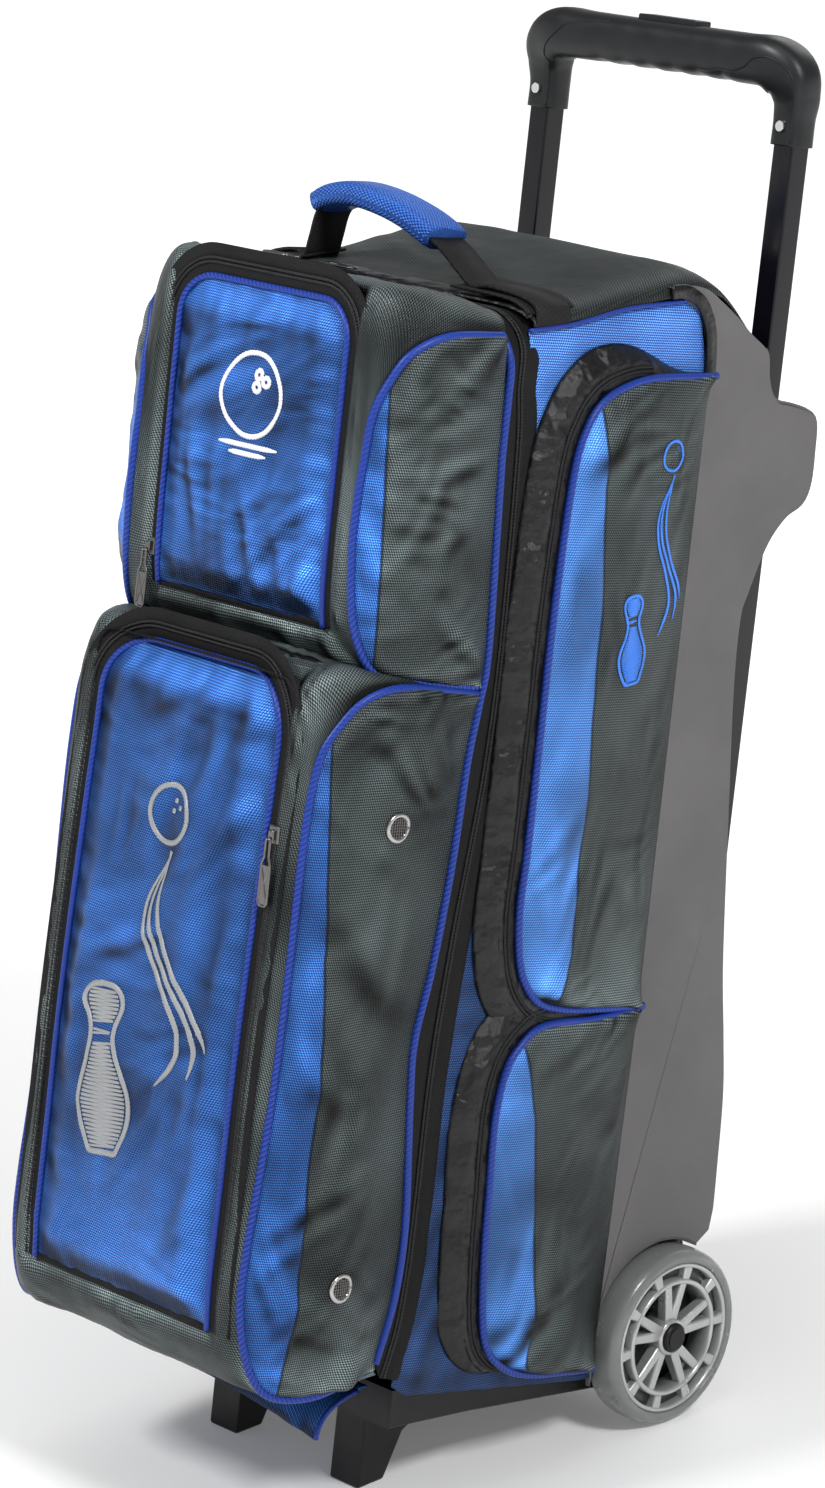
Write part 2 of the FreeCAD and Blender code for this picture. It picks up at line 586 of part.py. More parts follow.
document.recompute()
for item in document.Objects:
    if "Invalid" in item.State or "Error" in item.State:
        raise RuntimeError("%s failed: %s" % (item.Label, item.State))
for item in PARTS:
    if item.Shape.isNull() or not item.Shape.isValid() or not item.Shape.Solids:
        raise RuntimeError("%s has no sound shape" % item.Label)
for item in PARTS:
    item.Shape.exportStep("parts/%s.step" % item.Label)
print(len(PARTS), "sub-parts")
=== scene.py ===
"""Looks of the rolling bowling bag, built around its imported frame.

Soft pieces are worked out in the bag's own frame, in millimetres: x across, y to the back, z along
the handle tubes, with the wheel axle as origin.  to_row() takes them to the frame's metres.
"""
import json
import math

import bmesh
import bpy
import numpy as np
from mathutils import Matrix, Vector
from mathutils.bvhtree import BVHTree


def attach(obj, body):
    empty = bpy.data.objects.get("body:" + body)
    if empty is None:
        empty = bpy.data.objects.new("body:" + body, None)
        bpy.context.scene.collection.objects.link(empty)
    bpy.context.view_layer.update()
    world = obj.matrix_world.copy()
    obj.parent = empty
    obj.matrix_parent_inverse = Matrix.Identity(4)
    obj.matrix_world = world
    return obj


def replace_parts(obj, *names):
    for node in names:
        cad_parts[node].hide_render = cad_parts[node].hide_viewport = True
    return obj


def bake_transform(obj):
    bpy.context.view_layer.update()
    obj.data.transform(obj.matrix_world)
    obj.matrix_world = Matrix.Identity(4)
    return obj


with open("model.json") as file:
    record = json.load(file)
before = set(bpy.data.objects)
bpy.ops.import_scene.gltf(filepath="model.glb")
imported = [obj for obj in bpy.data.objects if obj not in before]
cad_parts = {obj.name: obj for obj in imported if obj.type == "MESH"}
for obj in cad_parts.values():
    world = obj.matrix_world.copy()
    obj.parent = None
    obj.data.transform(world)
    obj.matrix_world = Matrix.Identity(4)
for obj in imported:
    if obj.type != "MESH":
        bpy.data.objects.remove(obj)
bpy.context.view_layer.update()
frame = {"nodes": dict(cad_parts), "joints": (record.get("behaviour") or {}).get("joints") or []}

# ------------------------ the bag's own frame

JOINTS = {joint["name"]: joint for joint in frame["joints"]}
UP = np.array(JOINTS["handle_slide"]["axis"], float)
ACROSS = np.array([1.0, 0.0, 0.0])
AXES = np.column_stack([ACROSS, np.cross(UP, ACROSS), UP])
AXLE = np.array(JOINTS["right_wheel_spin"]["pos_m"], float) * (0, 1, 1)
MM = 0.001
SIDES = (("right", 1), ("left", -1))
FULL_TURN = 2 * math.pi
FORWARD, BACKWARD, UPWARD, DOWNWARD = (0, -1, 0), (0, 1, 0), (0, 0, 1), (0, 0, -1)
CLOTH = 1.4                         # thickness of the outer cloth, in millimetres


def to_row(points):
    """Points of the bag's frame, in millimetres, as points of the row frame in metres."""
    return np.asarray(points, float) * MM @ AXES.T + AXLE


def to_bag(points):
    """Points of the row frame, in metres, as points of the bag's frame in millimetres."""
    return (points - AXLE) @ AXES / MM


def way(direction):
    """A direction of the bag's frame as one of the row frame."""
    return np.asarray(direction, float) @ AXES.T


def bag_box(node):
    """The lowest and highest corner of a CAD node, in the bag's frame and millimetres."""
    local = to_bag(np.array([v.co for v in frame["nodes"][node].data.vertices]))
    return local.min(0), local.max(0)


# ------------------------ curves and noise

def stack(*parts):
    """Coordinates, broadcast against each other, as one array of points."""
    return np.stack(np.broadcast_arrays(*parts), -1)


def unit(vectors):
    return vectors / np.maximum(np.linalg.norm(vectors, axis=-1, keepdims=True), 1e-9)


def circle(count):
    """Cosine and sine of evenly spaced angles once round."""
    angle = np.linspace(0, FULL_TURN, count, endpoint=False)
    return np.cos(angle), np.sin(angle)


def spline(points, per_span=10):
    """A smooth curve through the points, with the same number of samples on every span."""
    p = np.asarray(points, float)
    p = np.vstack([2 * p[0] - p[1], p, 2 * p[-1] - p[-2]])
    t = np.linspace(0, 1, per_span, endpoint=False)[:, None]
    spans = [0.5 * (2 * b + (c - a) * t + (2 * a - 5 * b + 4 * c - d) * t ** 2 + (3 * b - a - 3 * c + d) * t ** 3)
             for a, b, c, d in zip(p, p[1:], p[2:], p[3:])]
    return np.vstack(spans + [p[-2:-1]])


def lengths(path):
    """How far along a path each of its points is."""
    return np.concatenate([[0], np.cumsum(np.linalg.norm(np.diff(path, axis=0), axis=1))])


def even(path, step, *carried):
    """The same curve with evenly spaced points, and with any carried columns beside them."""
    path = np.asarray(path, float)
    run = lengths(path)
    at = np.linspace(0, run[-1], max(2, int(round(run[-1] / step)) + 1))
    return np.column_stack([np.interp(at, run, column) for column in np.hstack([path, *carried]).T])


def with_normals(path, normal, step):
    """Evenly spaced points of a path, and its normals at them."""
    both = even(path, step, np.broadcast_to(np.asarray(normal, float), np.shape(path)))
    return both[:, :3], both[:, 3:]


def ramp(value, low, high):
    """A smooth step from 0 at low to 1 at high."""
    t = np.clip((value - low) / (high - low), 0, 1)
    return t * t * (3 - 2 * t)


def edge_fade(a, b, span_a, span_b, soft=26.0):
    """0 at the edges of a panel and 1 a little way in; a and b run from 0 to 1."""
    return ramp(np.minimum(a, 1 - a) * span_a, 0, soft) * ramp(np.minimum(b, 1 - b) * span_b, 0, soft)


def noise(x, y, seed):
    """Smooth gradient noise of two numbers, about -1 to 1."""
    x, y = np.asarray(x, float), np.asarray(y, float)
    cells = 64
    grid = np.random.default_rng(seed).uniform(0, FULL_TURN, (cells, cells))
    column, line = np.floor(x).astype(int), np.floor(y).astype(int)
    fx, fy = x - column, y - line

    def corner(dx, dy):
        angle = grid[(column + dx) % cells, (line + dy) % cells]
        return np.cos(angle) * (fx - dx) + np.sin(angle) * (fy - dy)

    sx, sy = (f * f * f * (f * (6 * f - 15) + 10) for f in (fx, fy))
    low = corner(0, 0) * (1 - sx) + corner(1, 0) * sx
    high = corner(0, 1) * (1 - sx) + corner(1, 1) * sx
    return 1.5 * (low * (1 - sy) + high * sy)


def creases(u, v, seed, angle, long, short):
    """Folds of thin cloth: ridges that run at an angle, wander, split and die out."""
    total = 0
    for turn, size, weight in ((0, 1.0, 1.0), (24, 0.62, 0.45), (-31, 0.4, 0.18)):
        c, s = math.cos(math.radians(angle + turn)), math.sin(math.radians(angle + turn))
        along, over = u * c + v * s, v * c - u * s
        over = over + 0.5 * short * noise(along / (0.8 * long), over / (2 * short), seed + 1)
        ridge = noise(along / (long * size), over / (short * size), seed)
        ridge = 1.25 * np.exp(-(2.3 * ridge) ** 2) - 0.25
        gate = ramp(noise(along / (1.2 * long * size), over / (3.2 * short * size), seed + 3), -0.15, 0.45)
        total = total + weight * ridge * gate
        seed += 11
    return total


def puckers(off, along, seed, reach=30.0, pitch=22.0):
    """Small gathers that run in from a seam: off is the distance from it, along the place on it."""
    wave = noise(along / pitch + off / 90, off / 70, seed)
    wave = wave + 0.5 * noise(along / (0.45 * pitch), off / 40, seed + 2)
    return wave * ramp(off, 0, 6) * (1 - ramp(off, 0.3 * reach, reach))


# ------------------------ materials

MATERIALS = {}

# The CAD part's slot for each material, and the material's own name for the others; make() looks it up but gives no
# piece a slot.
SLOTS = {material: slot for slot, materials in {
    "zip_black": "tape coil",
    "black_fabric": "black_nylon lining",
    "grey_fabric": "ribbed grey grey_and_royal grey_and_blue blue_thread",
    "blue_fabric": "blue piping wrap_blue thread white_thread",
    "sky_fabric": "side_blue",
    "housing_grey": "housing",
    "grip_plastic": "grip_rubber",
    "pull_metal": "gunmetal",
    "steel": "metal",
    "core_silver": "core window_dark",
}.items() for material in materials.split()}


class Shader:
    """A node material around one Principled shader."""

    def __init__(self, name, colour, roughness, metallic=0.0, **inputs):
        self.material = bpy.data.materials.new(name)
        self.material.use_nodes = True
        self.nodes = self.material.node_tree.nodes
        self.links = self.material.node_tree.links
        self.out = self.nodes["Principled BSDF"]
        for key, value in {"Base Color": colour, "Roughness": roughness, "Metallic": metallic, **inputs}.items():
            self.set(self.out, key.replace("_", " "), value)
        MATERIALS[name] = self.material

    def set(self, node, key, value):
        socket = node.inputs[key]
        if isinstance(value, bpy.types.NodeSocket):
            self.links.new(value, socket)
        elif isinstance(value, (tuple, list)) and len(value) == 3 and len(socket.default_value) == 4:
            socket.default_value = (*value, 1)
        else:
            socket.default_value = value

    def node(self, kind, outlet=0, settings=None, **inputs):
        """A new node's output; an input is named by its label, or by i and its number."""
        made = self.nodes.new("ShaderNode" + kind)
        for key, value in (settings or {}).items():
            setattr(made, key, value)
        for key, value in inputs.items():
            key = int(key[1:]) if key[0] == "i" and key[1:].isdigit() else key.replace("_", " ")
            self.set(made, key, value)
        return made.outputs[outlet]

    def math(self, operation, first, second=0.0, third=0.0):
        return self.node("Math", settings={"operation": operation}, i0=first, i1=second, i2=third)

    def times(self, first, second):
        return self.math("MULTIPLY", first, second)

    def mix(self, factor, first, second, blend="MIX"):
        return self.node("Mix", 2, {"data_type": "RGBA", "blend_type": blend}, i0=factor, i6=first, i7=second)

    def span(self, value, low, high, to_low=0.0, to_high=1.0):
        return self.node("MapRange", Value=value, From_Min=low, From_Max=high, To_Min=to_low, To_Max=to_high)

    def grain(self, scale, detail=3.0):
        return self.node("TexNoise", Vector=self.node("TexCoord", 3), Scale=scale, Detail=detail)

    def cloud(self, scale, low, high, detail=3.0):
        """Slow noise as a number between low and high."""
        return self.span(self.grain(scale, detail), 0.3, 0.7, low, high)

    def bump(self, height, strength, distance, **below):
        return self.node("Bump", Height=height, Strength=strength, Distance=distance, **below)

    def woven(self, pitch_u, pitch_v, angle):
        """Height of slanted rows of small floats, from the piece's own UV map in millimetres."""
        u, v, _ = self.node("SeparateXYZ", i0=self.node("UVMap", settings={"uv_map": "cloth"})).node.outputs
        c, s = math.cos(math.radians(angle)), math.sin(math.radians(angle))
        along = self.math("ADD", self.times(u, c), self.times(v, s))
        over = self.math("SUBTRACT", self.times(v, c), self.times(u, s))
        return self.times(*(self.math("SINE", self.times(part, FULL_TURN / pitch))
                            for part, pitch in ((along, pitch_u), (over, pitch_v))))


def fabric(name, colour, light, roughness, metallic, pitch=(3.0, 2.0), angle=32, second=None, depth=0.00035,
           crumple=0.0, gain=1.0, specular=0.22):
    """Woven cloth, with painted light and shade in its colour.  With second it has two colours, split where the tone
    attribute crosses zero.
    """
    s = Shader(name, colour, roughness, metallic, Specular_IOR_Level=specular)
    weave = s.woven(*pitch, angle)
    lift = s.span(weave, -0.35, 0.75)
    shade = s.mix(lift, colour, light)
    # Painted light and shade: slow mottling that is partly random tone and partly painted broad highlights, times the
    # painted fold light and shade that the attribute read below holds.
    mottle_and_painted_shade = s.cloud(8.0, 1 - 0.28 * gain, 1 + 0.24 * gain, 2.0)
    leaning = s.node("Attribute", 2, {"attribute_name": "shine"})
    mottle_and_painted_shade = s.times(mottle_and_painted_shade, s.math("MULTIPLY_ADD", leaning, gain, 1.0))
    if second:
        tone = s.node("Attribute", 2, {"attribute_name": "tone"})
        side = s.span(tone, -0.4, 0.4)
        shade = s.mix(side, shade, s.mix(lift, *second[:2]))
        mottle_and_painted_shade = s.times(mottle_and_painted_shade, s.span(s.math("ABSOLUTE", tone), 0.7, 1.5, 0.25, 1.0))
        s.set(s.out, "Metallic", s.span(side, 0.0, 1.0, metallic, second[2]))
    s.set(s.out, "Base Color", s.mix(1.0, shade, mottle_and_painted_shade, "MULTIPLY"))
    s.set(s.out, "Roughness", s.cloud(40.0, roughness - 0.06, roughness + 0.06))
    fine = s.bump(s.grain(150.0, 4.0), 0.25, 0.0008)
    if crumple:
        fine = s.bump(s.grain(38.0), 0.8, crumple, Normal=fine)
    s.set(s.out, "Normal", s.bump(weave, 0.5, depth, Normal=fine))


# gain sets how strongly the mottling and the painted light and shade show in each cloth.
BLUE = (0.004, 0.026, 0.16), (0.060, 0.205, 0.56)
SKY = (0.012, 0.070, 0.29), (0.125, 0.32, 0.71)
GREY = (0.005, 0.007, 0.008), (0.100, 0.124, 0.124)
fabric("blue", *BLUE, 0.36, 0.45, gain=2.0)
fabric("grey", *GREY, 0.40, 0.35, gain=2.8)
fabric("grey_and_blue", *GREY, 0.38, 0.35, second=(*SKY, 0.40), gain=2.5)
fabric("grey_and_royal", *GREY, 0.38, 0.35, second=(*BLUE, 0.45), gain=2.6)
fabric("side_blue", (0.004, 0.020, 0.15), (0.110, 0.28, 0.67), 0.36, 0.40, gain=1.4)
fabric("ribbed", (0.006, 0.008, 0.009), (0.072, 0.085, 0.086), 0.50, 0.2, (3.4, 2.4), 4, gain=1.5)
fabric("black_nylon", (0.003, 0.003, 0.004), (0.009, 0.009, 0.010), 0.30, 0.0, (1.2, 1.2), 45, depth=0.0001,
       crumple=0.010, specular=0.35)
fabric("lining", (0.010, 0.010, 0.012), (0.022, 0.022, 0.024), 0.55, 0.0, (1.6, 1.6), 45)
fabric("webbing", (0.004, 0.004, 0.005), (0.016, 0.016, 0.017), 0.7, 0.0, (2.2, 4.4), 45)
fabric("tape", (0.003, 0.003, 0.0035), (0.010, 0.010, 0.011), 0.75, 0.0, (1.3, 2.4), 0)
fabric("wrap_blue", (0.010, 0.05, 0.30), (0.065, 0.23, 0.74), 0.42, 0.3, (2.4, 3.8), 90, depth=0.0009)
fabric("foam", (0.012, 0.012, 0.013), (0.02, 0.02, 0.022), 0.9, 0.0, (1.1, 1.1), 45)

cord = Shader("piping", (0.026, 0.080, 0.42), 0.42, Specular_IOR_Level=0.3)
twist = cord.span(cord.woven(3.0, 900.0, 35), -0.9, 0.9)
cord.set(cord.out, "Base Color", cord.mix(twist, (0.004, 0.014, 0.13), (0.014, 0.055, 0.36)))


def moulded(name, colour, roughness, grain_scale, grain_depth, metallic=0.0, **inputs):
    """Moulded or painted solid with fine texture and slightly uneven gloss."""
    s = Shader(name, colour, roughness, metallic, **inputs)
    s.set(s.out, "Base Color", s.mix(1.0, colour, s.cloud(14.0, 0.90, 1.08), "MULTIPLY"))
    s.set(s.out, "Roughness", s.cloud(55.0, max(roughness - 0.05, 0.02), roughness + 0.07))
    s.set(s.out, "Normal", s.bump(s.grain(grain_scale, 2.0), 0.35, grain_depth))


moulded("housing", (0.108, 0.104, 0.105), 0.50, 900.0, 0.0003, Specular_IOR_Level=0.3)
moulded("black_plastic", (0.006, 0.006, 0.007), 0.42, 700.0, 0.0002, Specular_IOR_Level=0.3)
moulded("grip_rubber", (0.006, 0.007, 0.008), 0.40, 500.0, 0.0001, Specular_IOR_Level=0.35)
moulded("board", (0.020, 0.020, 0.022), 0.60, 500.0, 0.0003)
moulded("tube_black", (0.002, 0.002, 0.004), 0.16, 80.0, 0.00002, Specular_IOR_Level=0.35)
moulded("metal", (0.42, 0.41, 0.40), 0.28, 300.0, 0.0001, 1.0)
moulded("gunmetal", (0.17, 0.165, 0.16), 0.30, 300.0, 0.0001, 1.0)
moulded("bright", (0.80, 0.80, 0.80), 0.16, 100.0, 0.00003, 1.0)
moulded("coil", (0.009, 0.009, 0.010), 0.45, 400.0, 0.0001, Specular_IOR_Level=0.25)
moulded("core", (0.46, 0.47, 0.47), 0.22, 200.0, 0.00005, 0.55)
# Dark colour for the sheets that stand for shade inside the wheel's windows: painted shade.
moulded("window_dark", (0.030, 0.033, 0.033), 0.25, 200.0, 0.00005)
moulded("urethane", (0.31, 0.325, 0.315), 0.22, 60.0, 0.00005, 0.0, Transmission_Weight=0.45, IOR=1.45)
moulded("thread", (0.30, 0.31, 0.32), 0.45, 900.0, 0.0004, 0.35)
moulded("white_thread", (0.75, 0.76, 0.78), 0.5, 900.0, 0.0004)
moulded("blue_thread", (0.04, 0.20, 0.75), 0.45, 900.0, 0.0004, 0.2)

# ------------------------ mesh building

COIL_R, COIL_PITCH = 1.5, 2.2
BOX_FACES = ((0, 1, 3, 2), (4, 6, 7, 5), (0, 4, 5, 1), (2, 3, 7, 6), (0, 2, 6, 4), (1, 5, 7, 3))


def placed(name, mesh, material):
    """An object in the scene for a mesh with one material."""
    mesh.materials.append(material)
    piece = bpy.data.objects.new(name, mesh)
    bpy.context.scene.collection.objects.link(piece)
    return piece


def make(name, vertices, faces, uv, material, body="chassis", slot=None, smooth=True, **attributes):
    """A mesh piece from points of the bag's frame.  uv gives one pair of millimetres per vertex."""
    mesh = bpy.data.meshes.new(name)
    mesh.from_pydata(to_row(vertices).reshape(-1, 3).tolist(), [], [list(map(int, f)) for f in faces])
    layer = mesh.uv_layers.new(name="cloth")
    corners = np.zeros(len(mesh.loops), int)
    mesh.loops.foreach_get("vertex_index", corners)
    layer.data.foreach_set("uv", np.reshape(uv, (-1, 2)).astype(np.float32)[corners].ravel())
    for key, values in attributes.items():
        mesh.attributes.new(key, "FLOAT", "POINT").data.foreach_set("value", values.astype(np.float32).ravel())
    mesh.shade_smooth() if smooth else mesh.shade_flat()
    piece = placed(name, mesh, MATERIALS[material])
    if body:
        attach(piece, body)
    slot or SLOTS.get(material, material)
    return piece


def faced_outward(piece):
    """The piece, with its faces turned the same way."""
    mesh = bmesh.new()
    mesh.from_mesh(piece.data)
    bmesh.ops.recalc_face_normals(mesh, faces=mesh.faces)
    mesh.to_mesh(piece.data)
    mesh.free()
    return piece


def soften(piece, width, weld=False):
    """Round a hard piece's sharp edges."""
    def modifier(name, kind, **settings):
        made = piece.modifiers.new(name, kind)
        for key, value in settings.items():
            setattr(made, key, value)

    if weld:
        modifier("weld", "WELD", merge_threshold=0.00002)
    modifier("bevel", "BEVEL", width=width * MM, segments=3, limit_method="ANGLE", angle_limit=math.radians(28),
             harden_normals=True)
    piece.data.shade_smooth()
    modifier("split", "TRIANGULATE", ngon_method="BEAUTY", min_vertices=5, keep_custom_normals=True)
    modifier("normals", "WEIGHTED_NORMAL", keep_sharp=True)
    return piece


def block(name, corners, radius, material, body, uv_axis=0):
    """A six-sided piece with rounded edges, from its eight corners."""
    uv = np.array(corners)[:, uv_axis:uv_axis + 2]
    return soften(faced_outward(make(name, corners, BOX_FACES, uv, material, body, smooth=False)), radius)


def grid_faces(rows, columns, wrap=False, keep=None):
    """The faces of a grid of points, or the ones to keep."""
    i, j = np.meshgrid(np.arange(rows - 1), np.arange(columns if wrap else columns - 1), indexing="ij")
    if keep is not None:
        i, j = i[keep], j[keep]
    i, j = i.ravel(), j.ravel()
    k = (j + 1) % columns
    return np.column_stack([i * columns + j, i * columns + k, (i + 1) * columns + k, (i + 1) * columns + j])


def normals_of(p):
    """Unit normals of a grid of points."""
    return unit(np.cross(np.gradient(p, axis=0), np.gradient(p, axis=1)))


def flat_uv(p):
    """Millimetres along the rows and the columns of a grid, for a weave that follows it."""
    return stack(lengths(p[:, p.shape[1] // 2])[:, None], lengths(p[len(p) // 2]))


def blurred(values, cells):
    """The mean of a grid's values over a window of some cells each way."""
    for axis, count in enumerate(cells):
        count = int(np.clip(count, 1, values.shape[axis] // 2))
        pad = [(0, 0)] * values.ndim
        pad[axis] = (count, count)
        total = np.cumsum(np.pad(values, pad, mode="edge"), axis=axis)
        reach = total.shape[axis]
        values = (np.take(total, range(2 * count, reach), axis)
                  - np.take(total, range(reach - 2 * count), axis)) / (2 * count)
    return values


def soft(values, cells):
    """Blurred three times over, which leaves no box marks."""
    return blurred(blurred(blurred(values, cells), cells), cells)


def satin(p, n):
    """Painted fold light and shade: how much lighter or darker the cloth is painted for the way its folds lean towards
    a fixed light, about -0.4 to 0.9.
    """
    steps = [np.linalg.norm(np.diff(p, axis=axis), axis=-1).mean() for axis in (0, 1)]
    # The painted light comes from the fixed direction (0.45, -0.30, 0.84).
    lean = (n * (0.45, -0.30, 0.84)).sum(-1)
    fine, middling, broad = [soft(lean, [reach / step for step in steps]) for reach in (1.5, 14, 46)]
    return np.clip(2.3 * (fine - middling) + 1.1 * (middling - broad), -0.42, 0.9)


def sheet_piece(name, p, material, body, thickness, outward=None, uv=None, keep=None, shade=0.0, **attributes):
    """A cloth panel from a grid of points, thickened away from the side called outward.  Its colour gets the painted
    light and shade of its folds, and shade adds a painted offset to them.
    """
    rows, columns = p.shape[:2]
    n = normals_of(p)
    faces = grid_faces(rows, columns, keep=keep)
    facing = 1 if outward is None else np.dot(n[rows // 2, columns // 2], outward)
    if facing < 0:
        faces = faces[:, ::-1]
    # The attribute is painted light and shade: the folds' painted light from satin() plus shade, a painted offset.
    piece = make(name, p, faces, flat_uv(p) if uv is None else uv, material, body,
                 shine=satin(p, n * (1 if facing > 0 else -1)) + shade, **attributes)
    solid = piece.modifiers.new("thickness", "SOLIDIFY")
    solid.thickness = thickness * MM
    solid.offset = -1
    return piece


def frames_along(path, normal):
    """Normals made square to a path, and the vectors to the side of it."""
    tangent = unit(np.gradient(path, axis=0))
    normal = np.broadcast_to(np.asarray(normal, float), path.shape)
    normal = unit(normal - (normal * tangent).sum(1, keepdims=True) * tangent)
    return normal, np.cross(tangent, normal)


def swept(path, section, normal, scale):
    """The grid of points of a section of (side, normal) offsets swept along a path."""
    up, side = frames_along(path, normal)
    offsets = section * np.broadcast_to(np.reshape(scale, (len(np.atleast_1d(scale)), 1, -1)), (len(path), 1, 2))
    return path[:, None] + offsets[..., :1] * side[:, None] + offsets[..., 1:] * up[:, None]


def tube(name, p, around, material, body, slot=None):
    """A closed piece from a grid of points whose columns go round it."""
    rows, columns = p.shape[:2]
    ends = range(columns)[::-1], range((rows - 1) * columns, rows * columns)
    return make(name, p, [*grid_faces(rows, columns, wrap=True), *ends], around, material, body, slot)


def loft(name, path, section, normal, material, body="chassis", slot=None, scale=1.0):
    """A section of (side, normal) offsets swept along a path, as a closed piece."""
    path, section = np.asarray(path, float), np.asarray(section, float)
    around = lengths(np.vstack([section, section[:1]]))[:-1]
    return tube(name, swept(path, section, normal, scale), stack(lengths(path)[:, None], around), material, body, slot)


def ring(radius, sides=10, flat=1.0):
    angle = np.arange(sides) * FULL_TURN / sides
    return np.column_stack([radius * np.cos(angle), radius * flat * np.sin(angle)])


def piping(name, path, body, normal, radius, slot=None):
    path, normal = with_normals(path, normal, 3.0)
    return loft(name, path + 0.5 * radius * frames_along(path, normal)[0], ring(radius), normal, "piping", body, slot)


def strip(name, path, width, normal, material, thickness, body="chassis", shift=0.0):
    """A flat band whose middle runs along the path, shifted sideways."""
    half, edge = width / 2, thickness / 2
    section = [(shift - half, -edge), (shift + half, -edge), (shift + half + 0.3, 0), (shift + half, edge),
               (shift - half, edge), (shift - half - 0.3, 0)]
    return loft(name, path, section, normal, material, body)


def coil(name, path, normal, body, shift):
    """One side of a coil zip: a row of small loops, with three sections to a loop."""
    path, normal = with_normals(path, normal, COIL_PITCH / 3)
    swell = np.take([1.0, 0.95, 0.55], np.arange(len(path)) % 3)
    up, side = frames_along(path, normal)
    loft(name, path + side * shift, ring(COIL_R, 6, 0.8), up, "coil", body, scale=swell)


def zip_line(name, path, normal, bodies, tape, lift):
    """A closed zip along a path: tape and coil left of it ride on one body, and right of it on another."""
    path, normal = with_normals(path, normal, 4.0)
    up, _ = frames_along(path, normal)
    for word, body, sign in zip(("left", "right"), bodies, (-1, 1)):
        strip("%s_%s_tape" % (name, word), path, tape, up, "tape", 1.0, body, sign * (tape / 2 + 0.2))
        coil("%s_%s_coil" % (name, word), path + up * lift, up, body, sign * 1.4)


def ruled(first, second, columns, bulge=0.0, normal=None):
    """A grid between two paths that have the same number of points."""
    t = np.linspace(0, 1, columns)[None, :, None]
    p = first[:, None] * (1 - t) + second[:, None] * t
    return p if normal is None else p + bulge * np.sin(math.pi * t) * normal[:, None]


def bent(start, end, columns, *controls):
    """A grid of cubic curves from one path to another, past controls given as (share, x)."""
    t = np.linspace(0, 1, columns)[None, :, None]
    start, end = start[:, None], end[:, None]
    near, far = (start + share * (end - start) for share, _ in controls)
    near[..., 0], far[..., 0] = (x for _, x in controls)
    p = (1 - t) ** 3 * start + 3 * (1 - t) ** 2 * t * near + 3 * (1 - t) * t * t * far + t ** 3 * end
    return p, t[..., 0] * np.linalg.norm(p[:, -1] - p[:, 0], axis=-1, keepdims=True)


def mirrored(p, side):
    return p * np.array([side, 1.0, 1.0])


# ------------------------ main compartment

door_low, door_high = bag_box("door_panel")
_, shell_high = bag_box("body_shell")
CHEEK_X = bag_box("right_cheek")[1][0]
SKIN = 1.5                          # how far the cloth stands proud of the CAD shell's sides
SIDE_X = shell_high[0] + SKIN       # 127.5
DOOR_X = door_high[0] - 1.0         # 129
SHOULDER_Z = door_high[2] + 3       # 712
ZIP_SAMPLES = 260

# The zip's teeth and the door's piping on the side of the bag, as (y, z).
TEETH = [(-245, 712), (-246, 699), (-241, 665), (-236, 623), (-232, 499), (-234, 421), (-240, 363), (-247, 305),
         (-254, 217), (-255, 122), (-256, 80), (-260, 41), (-269, 8)]
DOOR_EDGE = [(-259, 696), (-253, 623), (-246, 499), (-249, 461), (-254, 423), (-258, 355), (-266, 287),
             (-275, 239), (-273, 197), (-265, 113), (-268, 62), (-279, 20)]


def arch(outline, x, top_z, radius):
    """Up one side of the bag, over the top and down the other side, with outward normals."""
    top_y = outline[0][0]
    side = spline([(x, y, z) for y, z in outline if z < top_z - radius - 4][::-1])
    turn = np.radians(np.arange(0, 91, 9))
    corner = stack(x - radius + radius * np.cos(turn), side[-1, 1] + (top_y - side[-1, 1]) * ramp(turn, 0, 1.6),
                   top_z - radius + radius * np.sin(turn))
    top = stack(np.linspace(x - radius, 0, 14)[1:], top_y, top_z)
    half = np.vstack([side, corner, top])
    normal = np.vstack([np.tile([1.0, 0, 0], (len(side), 1)), stack(np.cos(turn), 0, np.sin(turn)),
                        np.tile([0, 0, 1.0], (len(top), 1))])
    return (np.vstack([row, mirrored(row[-2::-1], -1)]) for row in (half, normal))


teeth, teeth_out = arch(TEETH, SIDE_X + 1.5, SHOULDER_Z, 28)
door_rim, door_out = arch(DOOR_EDGE, DOOR_X + 1.5, door_high[2] + 1, 36)
teeth, teeth_out = with_normals(teeth, teeth_out, lengths(teeth)[-1] / ZIP_SAMPLES)
outward, behind = frames_along(teeth, teeth_out)
door_tape = ruled(even(door_rim, lengths(door_rim)[-1] / ZIP_SAMPLES), teeth - behind * 1.2, 6, 0.8, outward)
sheet_piece("door_zip_tape", door_tape, "tape", "front_door", 1.0)
shell_tape = ruled(teeth + behind * 1.2, teeth + behind * 17 - outward * 0.2, 6, 0.6, outward)
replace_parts(sheet_piece("shell_zip_tape", shell_tape, "tape", "chassis", 1.0), "main_zip")
coil("door_zip_coil", teeth + outward * 0.8, outward, "front_door", -1.5)
coil("shell_zip_coil", teeth + outward * 0.8, outward, "chassis", 1.5)
piping("door_piping", door_rim, "front_door", door_out, 2.8)

# Blue sides of the main compartment.
SEAM_Y = -60.0
teeth_side = np.array(TEETH[:0:-1])


def teeth_y(z):
    return np.interp(z, teeth_side[:, 1], teeth_side[:, 0])


def side_top(y):
    return np.interp(y, [-250, -197, -148, -81], [700, 706, 716, 723])


def side_foot(y):
    return np.interp(y, [-269, -243, -72], [6, -9, -25])


